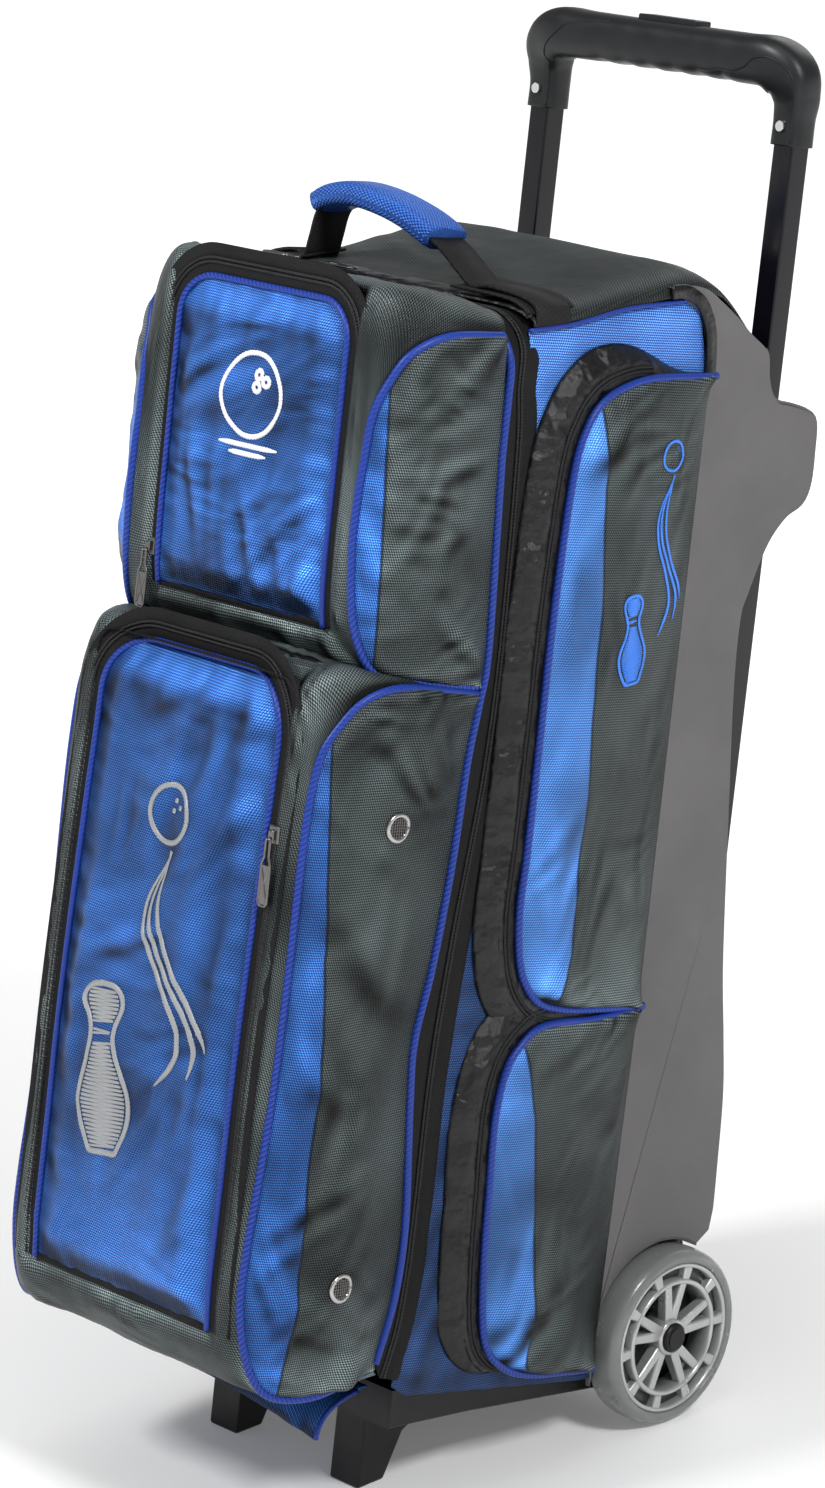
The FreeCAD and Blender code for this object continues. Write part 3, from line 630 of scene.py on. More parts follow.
a, b = np.meshgrid(np.linspace(0, 1, 200), np.linspace(0, 1, 60), indexing="ij")
z = -14 + 734 * a
y = teeth_y(z) + 12 + (np.interp(z, [0, 673, 723], [SEAM_Y, SEAM_Y - 4, -79]) - teeth_y(z) - 12) * b
z = side_foot(y) + (side_top(y) - side_foot(y)) * a
fade = edge_fade(a, b, 720, 180)
for word, side in SIDES:
    folds = creases(y, z, 40 + side, 70, 120, 30)
    gathers = puckers(side_top(y) - z, y, 47 + side, 70, 20) + 0.6 * puckers(y - teeth_y(z) - 18, z, 49 + side, 34, 24)
    x = SIDE_X + fade * (0.5 + 1.5 * folds) + gathers * ramp(1 - b, 0, 0.1) - 2.5 * ramp(a, 0.985, 1.0)
    # shade paints the blue sides darker towards the bottom and lighter towards the top, as light from above falls:
    # painted shade.
    skin = sheet_piece(word + "_side_skin", stack(side * x, y, z), "side_blue", "chassis", 1.2, (side, 0, 0),
                       stack(y, z), shade=-0.46 + 1.25 * ramp(z, 250, 690))
    if side > 0:
        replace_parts(skin, "body_shell")

# Grey ribbed top, from the zip back over the crown to the rear board.
TOP = spline([(-232, 714), (-190, 721), (-135, 733), (-95, 741), (-78, 742), (-60, 735), (-40, 719), (-19, 697)], 12)
TOP_DROP = 17.0


def shoulder(x):
    """How far the top has rounded over at x: 0 in the middle and 1 at the bag's side."""
    return 1 - np.sqrt(1 - np.clip(np.abs(x) / SIDE_X, 0, 1) ** 9)


q = np.linspace(-1, 1, 90)[None]
x, y = np.broadcast_arrays(SIDE_X * np.sign(q) * (1 - (1 - np.abs(q)) ** 1.15), TOP[:, :1])
drop = np.interp(TOP[:, :1], [-236, -80, -55, -19], [10, TOP_DROP, 8, 2])
folds = creases(x, y, 71, 0, 160, 44)
z = TOP[:, 1:] - drop * shoulder(x) + 1.6 * folds * (1 - ramp(np.abs(x), SIDE_X - 20, SIDE_X))
sheet_piece("top_panel", stack(x, y, z), "ribbed", "chassis", CLOTH, UPWARD, stack(x, y))
x = np.concatenate([-np.linspace(SIDE_X - 3, 0, 40), np.linspace(0, SIDE_X - 3, 40)[1:]])
band = np.stack([stack(x, y, 715.4 - 10 * shoulder(x) + rise) for y, rise in
                 ((-236, -1.2), (-232, 0.4), (-226, 1.2), (-219, 2.2), (-215, 1.6))], 1)
sheet_piece("top_band", band, "black_nylon", "chassis", 1.2, UPWARD)
x = np.linspace(-SIDE_X + 2, SIDE_X - 2, 50)
strip("top_rear_binding", stack(x, -77.0, 742.6 - TOP_DROP * shoulder(x)), 8, (0, 0.1, 1), "black_nylon", 1.6)
for word, side in SIDES:
    seam = [(side * (SIDE_X + 0.4), y, side_top(y)) for y in (-236, -197, -148, -110, -81)]
    piping(word + "_top_piping", spline(seam), "chassis", (side, 0, 0.3), 1.5, "sky_fabric")
    binding = [(side * (CHEEK_X + 0.8), y, z) for y, z in
               ((-108, 727.5), (-100, 728.5), (-90, 727), (-76, 719), (-66, 702), (-63, 684), (-62, 668))]
    strip(word + "_binding", spline(binding), 9, (side, 0, 0), "black_nylon", 2.2)
    cover = [(side * (CHEEK_X - 2.5), y, z + 3.0) for _, y, z in binding[:5]]
    strip(word + "_binding_edge", spline(cover), 8, (0, -0.35, 1), "black_nylon", 1.6)


def liner(name, low, high, body):
    """The inside of a compartment, open to the front."""
    (x0, y0, z0), (x1, y1, z1) = low, high
    radius = 14.0
    outline = [(cx + radius * math.cos(angle), cz + radius * math.sin(angle))
               for cx, cz, begin in ((x1 - radius, z1 - radius, 0), (x0 + radius, z1 - radius, 90),
                                     (x0 + radius, z0 + radius, 180), (x1 - radius, z0 + radius, 270))
               for angle in np.radians(np.arange(begin, begin + 91, 15))]
    loop = even(outline + outline[:1], 9.0)[:-1]
    centre = loop.mean(0)
    inward = unit(centre - loop)
    size = np.concatenate([np.ones(16), [0.97, 0.8, 0.5, 0.02]])[:, None]
    y = (y0 + (y1 - y0) * np.minimum(np.arange(20) / 15, 1))[:, None]
    x, z = (centre[k] + (loop[:, k] - centre[k]) * size for k in (0, 1))
    ripple = np.abs(1.5 * noise(x / 40 + y / 60, z / 35, 17) * ramp(np.arange(20), 0, 3)[:, None])
    p = stack(x + inward[:, 0] * ripple, y, z + inward[:, 1] * ripple)
    return make(name, p, grid_faces(*p.shape[:2], wrap=True), stack(y, lengths(loop)), "lining", body)


liner("main_lining", (-123, -243, -3), (123, -21, 706), "chassis")

# ------------------------ front door

a, b = np.meshgrid(np.linspace(0, 1, 120), np.linspace(-1, 1, 50), indexing="ij")
z = door_low[2] + 4 + (door_high[2] - door_low[2] - 8) * a
corner = np.clip((z - (door_high[2] - 38)) / 34, 0, 1)
x = b * (DOOR_X - 4 - 34 * (1 - np.sqrt(1 - corner ** 2)))
y = door_high[1] - 1.2 + 0.8 * noise(b * 4, a * 14, 5)
lining = sheet_piece("door_lining", stack(x, y, z), "lining", "front_door", 2.4, BACKWARD, stack(x, z))
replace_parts(lining, "door_panel")


def front_wrap(edge, profile, window, sink, seed):
    """The front, top and underside of a front pocket, between its two side pipings."""
    columns = 111
    q = np.linspace(-1, 1, columns)
    q = np.sign(q) * (1 - (1 - np.abs(q)) ** 1.35)
    run = lengths(profile)[:, None]
    front = profile[:, 0].min()
    x = edge[:, :1] * q
    inset = edge[:, :1] * (1 - np.abs(q))
    lift = np.sqrt(1 - (1 - np.clip(inset / 24.0, 0, 1)) ** 2)
    y, z = (edge[:, k:k + 1] + (profile[:, k - 1:k] - edge[:, k:k + 1]) * lift for k in (1, 2))
    half, low, high = window
    y = y + sink * ramp(half + 12 - np.abs(x), 0, 10) * ramp(z, low - 12, low) * ramp(high + 14 - z, 0, 10) \
        * (profile[:, :1] < front + 40)
    p = stack(x, y, z)
    inside = (np.abs(x) < half + 16) & (z > low - 4) & (z < high + 16) & (y < front + 35)
    amount = 2.6 * ramp(inset, 2, 16) * ramp(run, 6, 30) * ramp(run[-1] - run, 6, 30) * ~inside
    folds = creases(x, run + 0 * x, seed, 20, 70, 24)
    p = p + (normals_of(p) * folds[..., None]) * amount[..., None]
    across = np.cumsum(np.linalg.norm(np.diff(p, axis=1, prepend=p[:, :1]), axis=-1), axis=1)
    return p, stack(across - across[:, columns // 2, None], run)


def side_patch(edge, back, seed):
    """A pocket's side, from its front piping round the corner and back to the door's edge."""
    x_out = back[:, :1] + 3.0
    p, from_front = bent(edge, back, 46, (0.10, x_out), (0.50, x_out))
    run = lengths(edge)
    u = (130 - p[..., 0]) * 0.9 + door_low[1] - p[..., 1]
    fade = edge_fade((run / run[-1])[:, None], np.linspace(0, 1, 46), run[-1], 110, 34)
    n = normals_of(p)
    if n[len(n) // 2, 20, 0] < 0:
        n = -n
    z = p[..., 2]
    gathers = puckers(from_front, z, seed + 4, 40, 24)
    folds = 4.6 * creases(u, z, seed, 52, 120, 42) + 2.0 * creases(u, z, seed + 6, -40, 80, 28)
    p = p + n * (folds * fade + 0.8 * gathers * np.minimum(1, 3 * fade + 0.2))[..., None]
    return p, stack(u, p[..., 2])


def corner_cut(z, high, corner):
    """How far a rounded top corner pulls an opening's edge in, at height z."""
    over = np.clip((z - (high - corner)) / corner, 0, 1)
    return corner * (1 - np.sqrt(1 - over ** 2))


def front_pocket(level, edge_points, profile_points, window, corner, sink, tone_line, seed):
    """Everything of one front pocket: wrap, sides, pipings, panel with its zip, and lining."""
    flap_body = level + "_front_flap_body"
    edge, profile = spline(edge_points, 12), spline(profile_points, 12)
    half, low, high = window
    front = profile[:, 0].min()
    p, uv = front_wrap(edge, profile, window, sink, seed)
    x, y, z = np.moveaxis(p[:-1, :-1], -1, 0)
    hole = (np.abs(x) < half - corner_cut(z, high, corner)) & (z > low) & (z < high) & (y < front + 40)
    wrap = sheet_piece(level + "_front_wrap", p, "grey", "front_door", CLOTH, FORWARD, uv, ~hole)
    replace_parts(wrap, level + "_front_pocket")
    z = edge[0, 2] + (edge[-1, 2] - edge[0, 2]) * lengths(edge) / lengths(edge)[-1]
    back = stack(DOOR_X + 1.0, np.interp(z, DOOR_LINE[:, 1], DOOR_LINE[:, 0]), z)
    for word, side in SIDES:
        name = "%s_%s_front" % (word, level)
        patch, cloth = side_patch(edge, back, seed + 7 + side)
        sheet_piece(name + "_side", mirrored(patch, side), "grey_and_royal", "front_door", CLOTH, (side, 0, 0), cloth,
                    tone=cloth[..., 0] - np.interp(patch[..., 2], *tone_line))
        piping(name + "_piping", mirrored(edge, side), "front_door", (side * 0.75, -0.65, 0.0), 2.8)

    face = profile[profile[:, 0] < front + 40]
    face = face[np.argsort(face[:, 1])]

    def face_y(z):
        return np.interp(z, face[:, 1], face[:, 0] + sink)

    a, b = np.meshgrid(np.linspace(0, 1, 170), np.linspace(-1, 1, 90), indexing="ij")
    z = low + 2 + (high - low - 4) * a
    x = (half - 1 - corner_cut(z, high, corner)) * b
    fade = edge_fade(a, (b + 1) / 2, high - low, 2 * half, 22)
    fan = creases(x, z, seed + 3, 58, 170, 46) + 0.5 * creases(x, z, seed + 5, 38, 130, 30)
    gathers = puckers(half - np.abs(x), z + 300 * np.sign(x), seed + 8) + puckers(high - z, x, seed + 9, 45, 24)
    gathers += puckers(z - low, x, seed + 10, 30, 22)
    y = face_y(z) - 2 - 4 * fade - 4.4 * fan * fade - 0.9 * gathers
    panel = sheet_piece(level + "_front_panel", stack(x, y, z), "blue", flap_body, CLOTH, FORWARD, stack(x, z))
    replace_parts(panel, level + "_front_flap")

    reach = half - corner
    outline = [(half, z) for z in np.linspace(low, high - corner, 14)[:-1]]
    outline += [(reach + corner * math.cos(t), high - corner + corner * math.sin(t))
                for t in np.radians(np.arange(0, 91, 10))]
    outline += [(x, high) for x in np.linspace(reach, 0, 8)[1:]]
    outline += [(-x, z) for x, z in outline[-2::-1]]
    x, z = np.transpose(outline)
    path = stack(x, face_y(z) - 3.0, z)
    piping(level + "_panel_piping", path, flap_body, FORWARD, 2.2)
    up, sideways = frames_along(path, FORWARD)
    turn = 1 if sideways[3, 0] > 0 else -1
    zip_line(level + "_front_zip", path + turn * sideways * 10.5 + up * 0.5, FORWARD,
             (flap_body, "front_door")[::turn], tape=10.5, lift=0.8)
    foot = stack(np.linspace(-half, half, 12), face_y(low) - 3.2, low + 1.0)
    strip(level + "_panel_foot_tape", foot, 5, FORWARD, "tape", 1.2, "front_door")
    liner(level + "_front_lining", (-(half + 8), front + 14, low - 12), (half + 8, door_low[1] - 3, high + 2),
          "front_door")


DOOR_LINE = np.array(DOOR_EDGE[::-1])
front_pocket(
    "upper",
    [(129.5, -262, 699), (127, -306, 698), (120, -331, 686), (112, -341, 666), (107, -347, 645), (105.5, -349, 615),
     (105, -351, 587), (105.5, -351, 554), (108, -346, 512), (113, -334, 486), (119, -320, 479), (126, -296, 476),
     (129.5, -252, 472)],
    [(-256, 712), (-300, 721), (-328, 725), (-342, 719), (-348, 700), (-349, 655), (-349, 600), (-349, 550),
     (-347, 515), (-340, 492), (-328, 482), (-300, 478), (-253, 475)],
    (79, 505, 711), 27, 5.0, ([480, 670, 700], [93, 104, 125]), 101)
front_pocket(
    "lower",
    [(129.5, -250, 467), (129, -299, 473), (127, -326, 473), (123, -346, 465), (118, -360, 448), (115, -369, 431),
     (113.5, -373, 405), (113, -375, 365), (112.5, -376, 281), (112, -378, 211), (111, -382, 149), (110.5, -386, 100),
     (111, -386, 63), (114, -377, 27), (119, -360, 7), (126, -326, 4), (129, -282, 16)],
    [(-254, 478), (-310, 482), (-342, 483), (-360, 480), (-371, 471), (-378, 452), (-380, 412), (-383, 365),
     (-387, 290), (-390, 215), (-391, 150), (-392, 100), (-392, 60), (-386, 28), (-368, 10), (-326, 4), (-262, 6)],
    (86, 46, 473), 40, 4.5, ([0, 70, 226, 330, 410, 455, 475], [114, 106, 107, 114, 121, 124, 140]), 131)

# ------------------------ side pockets

POCKET_X = bag_box("right_upper_side_flap")[1][0]       # 143.5
GUSSET = 30.0                                           # the gusset's full width
# Per level: the front edge and the line where the colours meet, as (y, z), the seam's y at its ends,
# and the shares of the edge over which the gusset narrows at its foot.
SIDE_POCKETS = {
    "upper": (
        [(-77, 674), (-127, 673), (-153, 668), (-174, 658), (-187, 641), (-195, 610), (-199, 525), (-199, 440),
         (-199, 363), (-200, 323), (-196, 293), (-188, 273), (-172, 257), (-148, 250), (-119, 247), (-80, 245)],
        ([250, 289, 419, 498, 539, 594, 653, 672], [-160, -151, -153, -157, -160, -166, -175, -190]),
        (-64, -62), (0.0, 0.14)),
    "lower": (
        [(-82, 242), (-118, 240), (-147, 241), (-169, 239), (-184, 229), (-195, 214), (-201, 181), (-199, 128),
         (-197, 86), (-192, 42), (-184, 19), (-168, 4), (-141, -6), (-88, -11)],
        ([0, 3, 47, 112, 177, 228, 240], [-146, -149, -150, -156, -166, -181, -192]),
        (-62, -66), (0.13, 0.31)),
}


def side_pocket(word, side, level, seed):
    """The flap, gusset, zip and pipings of one side pocket."""
    points, tone_line, rear, narrowing = SIDE_POCKETS[level]
    name = "%s_%s_side" % (word, level)
    body = name + "_flap_body"
    edge = spline([(POCKET_X - 2.5, y, z) for y, z in points])
    run = lengths(edge)
    share = run / run[-1]
    low_z, high_z = edge[-1, 2], edge[0, 2]
    end = stack(CHEEK_X + 1.0, np.interp(share, [0, 1], rear), high_z + (low_z - high_z) * share)
    p, from_front = bent(edge, end, 44, (0.30, POCKET_X + 4.5), (0.68, POCKET_X + 1.0))
    _, y, z = np.moveaxis(p, -1, 0)
    fade = edge_fade(share[:, None], np.linspace(0, 1, 44), run[-1], 130, 18)
    gathers = puckers(from_front, z + 2 * y, seed + 4, 40, 26)
    p[..., 0] += 4.0 * fade * creases(y, z, seed, 60, 120, 36) + 0.8 * gathers * np.minimum(1, 3 * fade)
    flap = sheet_piece(name + "_cover", mirrored(p, side), "grey_and_blue", None, CLOTH, (side, 0, 0), p[..., 1:],
                       tone=np.interp(z, *tone_line) - y)
    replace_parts(flap, name + "_flap")
    rim = np.vstack([edge[:1] + (0, 9.0, 0.3), edge, edge[-1:] + (0, 12.0, -0.3)])
    hem = piping(name + "_piping", mirrored(rim, side), None, (side * 1.0, -0.25, 0), 2.6)
    hinge = to_row([side * POCKET_X, SEAM_Y - 4, (low_z + high_z) / 2])
    for piece in (flap, hem):
        tuple(hinge - way([0, 28.0, 0]) * MM)
        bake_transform(piece)

    away = np.cross(unit(np.gradient(edge, axis=0)), ACROSS)
    if away[len(away) // 2, 1] > 0:
        away = -away
    width = (GUSSET * ramp(share, 0.0, 0.16) * ramp(1 - share, *narrowing))[:, None]
    outer = edge + away * width
    outer[:, 0] = SIDE_X + 2.0
    gusset = ruled(edge + away * 0.6 - np.array([1.5, 0, 0]), outer, 16)
    t = np.linspace(0, 1, 16)
    bow = np.sin(math.pi * t) * width / GUSSET
    lumps = creases(*np.broadcast_arrays(run[:, None], GUSSET * t), seed + 9, 70, 20, 8)
    gusset[..., 0] += 3.4 * bow
    gusset[..., 0] += 2.2 * lumps * bow * ramp(t, 0.35, 0.6)
    shell = sheet_piece(name + "_gusset", mirrored(gusset, side), "black_nylon", "chassis", 1.0, (side, -1, 0))
    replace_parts(shell, name + "_pocket")
    track = gusset[:, 4] * 0.5 + gusset[:, 5] * 0.5
    facing = np.cross(np.gradient(track, axis=0), gusset[:, 7] - gusset[:, 2])
    facing = unit(facing * np.sign(facing[:, :1]))
    path, out = (mirrored(row[10:-10], side) for row in (track, facing))
    flap_left = frames_along(path, out)[1][len(path) // 2, 1] < 0
    zip_line(name + "_zip", path, out, (body, "chassis")[::1 if flap_left else -1], tape=6.0, lift=1.0)


for word, side in SIDES:
    for number, level in enumerate(SIDE_POCKETS):
        side_pocket(word, side, level, 210 + 20 * number + side)

# ------------------------ housing

CHEEK = [(-101, 727), (-93, 731), (-83, 732), (-70, 729), (-57, 722), (-41, 712.5), (-23, 700), (-5, 688), (0, 669),
         (9, 655), (28, 651), (44, 647), (54, 640), (56, 620), (56, 598), (50, 585), (34, 576), (18, 557), (4, 524),
         (-1, 505), (1, 455), (12, 360), (24, 262), (34, 208), (41, 165), (44, 110), (45, 82)]
CHEEK_FRONT = [(-69.0, -6.5), (-66, 4), (-62, 20), (-62, 660), (-64, 690), (-75, 713), (-92, 722)]
WELL = 67.5                         # radius of the wheel well


def plate(name, outline, near, far):
    """A moulded plate: a closed (y, z) outline with thickness from x = near to far, and softened edges."""
    count = len(outline)
    p = np.array([stack(x, outline[:, 0], outline[:, 1]) for x in (far, near)])
    faces = [range(count), range(count, 2 * count)[::-1], *grid_faces(2, count, wrap=True)]
    return soften(faced_outward(make(name, p, faces, p[..., 1:], "housing")), 1.4)


def well_arc(begin, end, count):
    turn = np.radians(np.linspace(begin, end, count))
    return stack(WELL * np.cos(turn), WELL * np.sin(turn))


arc = well_arc(62, 184, 30)
rear_curve = even(spline(CHEEK, 8), 4.0)
cheek_outline = np.vstack([rear_curve, [(43, 68)], arc[arc[:, 0] < 38], even(spline(CHEEK_FRONT, 8), 6.0)])
wing = rear_curve[rear_curve[:, 0] > -8]
wall = well_arc(61, 198, 36)
for word, side in SIDES:
    cheek = plate(word + "_cheek_shell", cheek_outline, side * (CHEEK_X - 3.5), side * CHEEK_X)
    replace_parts(cheek, word + "_cheek")
    # The well's own wall and the flange that the cheek turns back behind the bag.
    well = [stack(side * x, *(wall * size).T) for x, size in
            ((CHEEK_X - 0.5, 1), (124, 1), (118, 1), (114, 1), (113.8, 1.0), (113.8, 0.6), (113.8, 0.05))]
    sheet_piece(word + "_wheel_well", np.stack(well, 1), "housing", "chassis", 1.5)
    flange = [stack(side * (CHEEK_X - inset), wing[:, 0] + shift, wing[:, 1]) for inset, shift in
              ((1.5, -0.4), (8, -0.8), (20, -2.0))]
    sheet_piece(word + "_cheek_flange", np.stack(flange, 1), "housing", "chassis", 2.5, BACKWARD)

# CAD nodes that are seen as they are: their material and how far their edges are rounded.
KEPT = {"rear_panel": ("board", 1.0), "tube_bracket": ("housing", 2.0), "axle_block": ("black_plastic", 2.0),
        "axle": ("metal", 0.4), "base_tray": ("black_plastic", 1.5),
        "lower_ball_shelf": ("board", 1.0), "upper_ball_shelf": ("board", 1.0),
        "grip_rivets": ("bright", 0.8), "release_button": ("grip_rubber", 1.5), "release_yoke": ("metal", 0.3)}
for word, _ in SIDES:
    KEPT.update({word + "_axle_cap": ("black_plastic", 0.8), word + "_bearings": ("metal", 0.3),
                 word + "_foot": ("black_plastic", 2.0), word + "_outer_tube": ("tube_black", 1.5),
                 word + "_inner_tube": ("tube_black", 2.0)})
for name, (material, width) in KEPT.items():
    piece = frame["nodes"][name]
    piece.data.materials.clear()
    piece.data.materials.append(MATERIALS[material])
    soften(piece, width, weld=True)

# ------------------------ wheels

(TYRE_IN, _, _), (TYRE_OUT, _, WHEEL_R) = bag_box("right_tyre")
RIM_R = 54.0
FACE = TYRE_OUT - 1.2               # x of the core's outer face


def turned(name, profile, side, material, body, steps=96, closed=True):
    """A piece turned about the axle from an (x, radius) profile."""
    x, radius = np.transpose(profile)
    c, s = circle(steps)
    p = stack(side * x, radius * c[:, None], radius * s[:, None])
    faces = grid_faces(steps + 1, len(profile), wrap=closed) % (steps * len(profile))
    uv = stack(50 * np.linspace(0, FULL_TURN, steps, endpoint=False)[:, None], lengths(profile))
    return faced_outward(make(name, p, faces, uv, material, body))


def bar(name, start, end, widths, depths, side, body):
    """A tapered spoke of the core between two (radius, degrees) points; depths are below the outer face."""
    start, end = (radius * np.array([math.cos(math.radians(angle)), math.sin(math.radians(angle))])
                  for radius, angle in (start, end))
    along = unit(end - start)
    cross = np.array([-along[1], along[0]])
    corners = [(side * (FACE - depth), *(point + sign * cross * width / 2))
               for point, width, pair in zip((start, end), widths, depths) for depth in pair for sign in (-1, 1)]
    return block(name, corners, 1.4, "core", body, 1)


def joined(pieces, name):
    """Several pieces with applied modifiers as one."""
    graph = bpy.context.evaluated_depsgraph_get()
    for piece in pieces:
        mesh = bpy.data.meshes.new_from_object(piece.evaluated_get(graph))
        piece.modifiers.clear()
        piece.data = mesh
    with bpy.context.temp_override(active_object=pieces[0], selected_editable_objects=pieces,
                                   selected_objects=pieces):
        bpy.ops.object.join()
    pieces[0].name = name
    return pieces[0]


half_tread = [(0.8, RIM_R + 0.2), (0.1, 57), (1.6, 60.4), (5.5, 62.7)]
tread = [(TYRE_IN + x, radius) for x, radius in half_tread] + [((TYRE_IN + TYRE_OUT) / 2, WHEEL_R)]
tread += [(TYRE_OUT - x, radius) for x, radius in half_tread[::-1]]
tread = np.vstack([even(spline(tread, 8), 1.2), [[TYRE_OUT - 4, RIM_R], [TYRE_IN + 4, RIM_R]]])
for word, side in SIDES:
    body = word + "_wheel"
    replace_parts(turned(word + "_tyre_body", tread, side, "urethane", body, 120), word + "_tyre")
    parts = []
    for number, (inner, outer, depth, top) in enumerate(
            ((50.6, 53.9, 20, FACE), (38.6, 42.2, 18, FACE - 0.4), (5.2, 13.0, 20, FACE - 1.0))):
        rim = [(top - depth, inner), (top - 1, inner), (top, inner + 0.8), (top, outer - 0.8), (top - 1, outer),
               (top - depth, outer)]
        parts.append(turned("%s_rim_%d" % (word, number), rim, side, "core", body))
    for step in range(10):
        angle = 36 * step + 8
        parts.append(bar("%s_bridge_%d" % (word, step), (41.5, angle), (51.4, angle), (6.5, 8.5),
                         ((9, 0.8), (9, 0.6)), side, body))
    for step in range(5):
        for sign in (-1, 1):
            angle = 72 * step + 20
            parts.append(bar("%s_spoke_%d_%d" % (word, step, sign + 1), (10, angle + 8 * sign),
                             (39.8, angle + 11.5 * sign), (7.6, 6.4), ((13, 3.5), (10, 1.6)), side, body))
    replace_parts(joined(parts, word + "_rim"), word + "_wheel_core")
    # Dark sheets in the core's windows and behind its spokes stand for the shade inside the wheel: painted shade.
    turned(word + "_rim_floor", [(FACE - 7.5, 42.0), (FACE - 6.5, 43), (FACE - 6.5, 50), (FACE - 7.5, 51)], side,
           "window_dark", body, closed=False)
    turned(word + "_rim_back", [(TYRE_IN + 3, 12.5), (TYRE_IN + 3, 52), (TYRE_IN + 6, 53.5)], side, "window_dark",
           body, closed=False)
    nut = [(-8, 10.5), (0.6, 10.5), (2.2, 9.0), (2.8, 6.4), (2.2, 4.6), (2.3, 0.3)]
    turned(word + "_axle_nut", [(FACE + x, radius) for x, radius in nut], side, "black_plastic", body, 24, False)

# ------------------------ pull handle's grip

grip_low, grip_high = bag_box("grip")
GRIP_Y = (grip_low[1] + grip_high[1]) / 2
TUBE_X, TUBE_Y, _ = np.mean(bag_box("right_inner_tube"), 0)
BAR_Z = grip_high[2] - 17

# Half of the grip's path as x, y, z, with the section's half width and half height.
half = [(TUBE_X, TUBE_Y, grip_low[2], 12.5, 12.5), (TUBE_X, TUBE_Y, grip_low[2] + 18, 12.5, 12.5),
        (TUBE_X + 0.5, TUBE_Y - 1, BAR_Z - 22, 14.5, 13.5), (TUBE_X - 3, GRIP_Y + 2, BAR_Z - 9, 18.0, 15.5),
        (TUBE_X - 17, GRIP_Y, BAR_Z - 0.5, 17.6, 17.5), (TUBE_X - 42, GRIP_Y, BAR_Z, 16.8, 18.0),
        (0, GRIP_Y, BAR_Z, 16.6, 18.0)]
whole = spline(half + [(-x, *others) for x, *others in half[-2::-1]], 16)
finger = 1.5 * ramp(np.abs(whole[:, 0] - 5), 68, 60) * (0.5 - 0.5 * np.cos((whole[:, 0] + 63) * FULL_TURN / 23))
whole[:, 2] += finger / 2
whole[:, 3] -= finger / 2


def squarish(count, squareness):
    """Points of a circle of radius 1 that is drawn out towards a square."""
    return stack(*(np.sign(v) * np.abs(v) ** squareness for v in circle(count)))


skin = swept(whole[:, :3], squarish(40, 0.62), FORWARD, whole[:, 3:])
uv = stack(lengths(whole[:, :3])[:, None], 15 * np.linspace(0, FULL_TURN, 40, endpoint=False))
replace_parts(tube("grip_moulding", skin, uv, "grip_rubber", "handle"), "grip")
for word, rows, columns in (("right", range(2, 88), [6.5, 6.5, 10, 14]),
                            ("left", range(-3, -89, -1), [13.5, 13.5, 10, 6])):
    around = np.interp(np.linspace(0, 1, len(rows)), [0, 0.45, 0.8, 1], columns)
    low = np.floor(around).astype(int)
    line = skin[rows, low] * (1 - (around - low))[:, None] + skin[rows, low + 1] * (around - low)[:, None]
    loft(word + "_grip_seam", even(line, 2.5), ring(0.7, 6), FORWARD, "grip_rubber", "handle")


def surface(piece):
    """Something that answers where a ray meets a piece."""
    bpy.context.view_layer.update()
    return BVHTree.FromObject(bpy.data.objects[piece], bpy.context.evaluated_depsgraph_get())


def drape(points, heading, tree, lift):
    """Points of the bag's frame dropped along a heading on to a surface, and lifted off it."""
    run_up = 0.08
    found, facing = [], []
    direction = Vector(way(heading)).normalized()
    for point in to_row(points):
        hit, normal, _, _ = tree.ray_cast(Vector(point) - direction * run_up, direction)
        if hit is not None:
            normal = normal if normal.dot(direction) < 0 else -normal
            found.append(to_bag(np.array(hit + normal * lift * MM)))
            facing.append(np.array(normal) @ AXES)
    return np.array(found), np.array(facing)


# ------------------------ carrying handle

strap_low, strap_high = bag_box("carry_strap")
STRAP_Y = (strap_low[1] + strap_high[1]) / 2
STRAP_W = strap_high[1] - strap_low[1]
ABOVE = 790.0                       # z from which the strap is dropped on to the top


def over_strap(points):
    return [(x, STRAP_Y, z) for x, z in points]


def webbing(name, points, side):
    """A flat strap that keeps its width along y."""
    path = even(spline(points, 8), 3.0)
    up = np.cross(np.gradient(path, axis=0), np.array([0, 1.0, 0]))
    up *= np.sign((up * (0.4 * side, 0, 0.9)).sum(1, keepdims=True))
    return strip(name, path, STRAP_W, up, "webbing", 2.4)


top_tree = surface("top_panel")
for word, side, inner, lay, raised in (
        ("left", -1, 94, (124, 112, 100), [(-92, 721), (-88, 734), (-84, 750), (-76, 759)]),
        ("right", 1, 60, (124, 112, 96, 80), [(66, 722), (52, 730), (34, 742), (12, 752)])):
    x, y = np.meshgrid(np.linspace(side * (inner - 6), side * 125.0, 26), STRAP_Y - 1 + np.linspace(-21, 21, 12),
                       indexing="ij")
    patch, _ = drape(stack(x, np.maximum(y, TOP[0, 0] + 1.5), ABOVE).reshape(-1, 3), DOWNWARD, top_tree, 2.4)
    patch = stack(x, y, patch[:, 2].reshape(x.shape))
    sheet_piece("carry_patch_" + word, patch, "webbing", "chassis", 1.6, UPWARD, patch[..., :2])
    flat, _ = drape([(side * reach, STRAP_Y, ABOVE) for reach in lay], DOWNWARD, top_tree, 4.4)
    strap = webbing("carry_strap_" + word, [(side * 127.8, STRAP_Y, 703), *flat, *over_strap(raised)], side)
    if side < 0:
        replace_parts(strap, "carry_strap")
section = squarish(48, 0.6) * (19.0, 8.6)
section[:, 1] *= 1 - 0.10 * np.exp(-((np.abs(circle(48)[0]) - 0.62) / 0.07) ** 2)
wrap_path = over_strap([(-88, 757), (-74, 763), (-54, 766), (-26, 763), (2, 756), (24, 747)])
path = even(spline(wrap_path), 2.5)
swell = 1 - 0.06 * ramp(np.abs(np.linspace(-1, 1, len(path))), 0.85, 1.0)
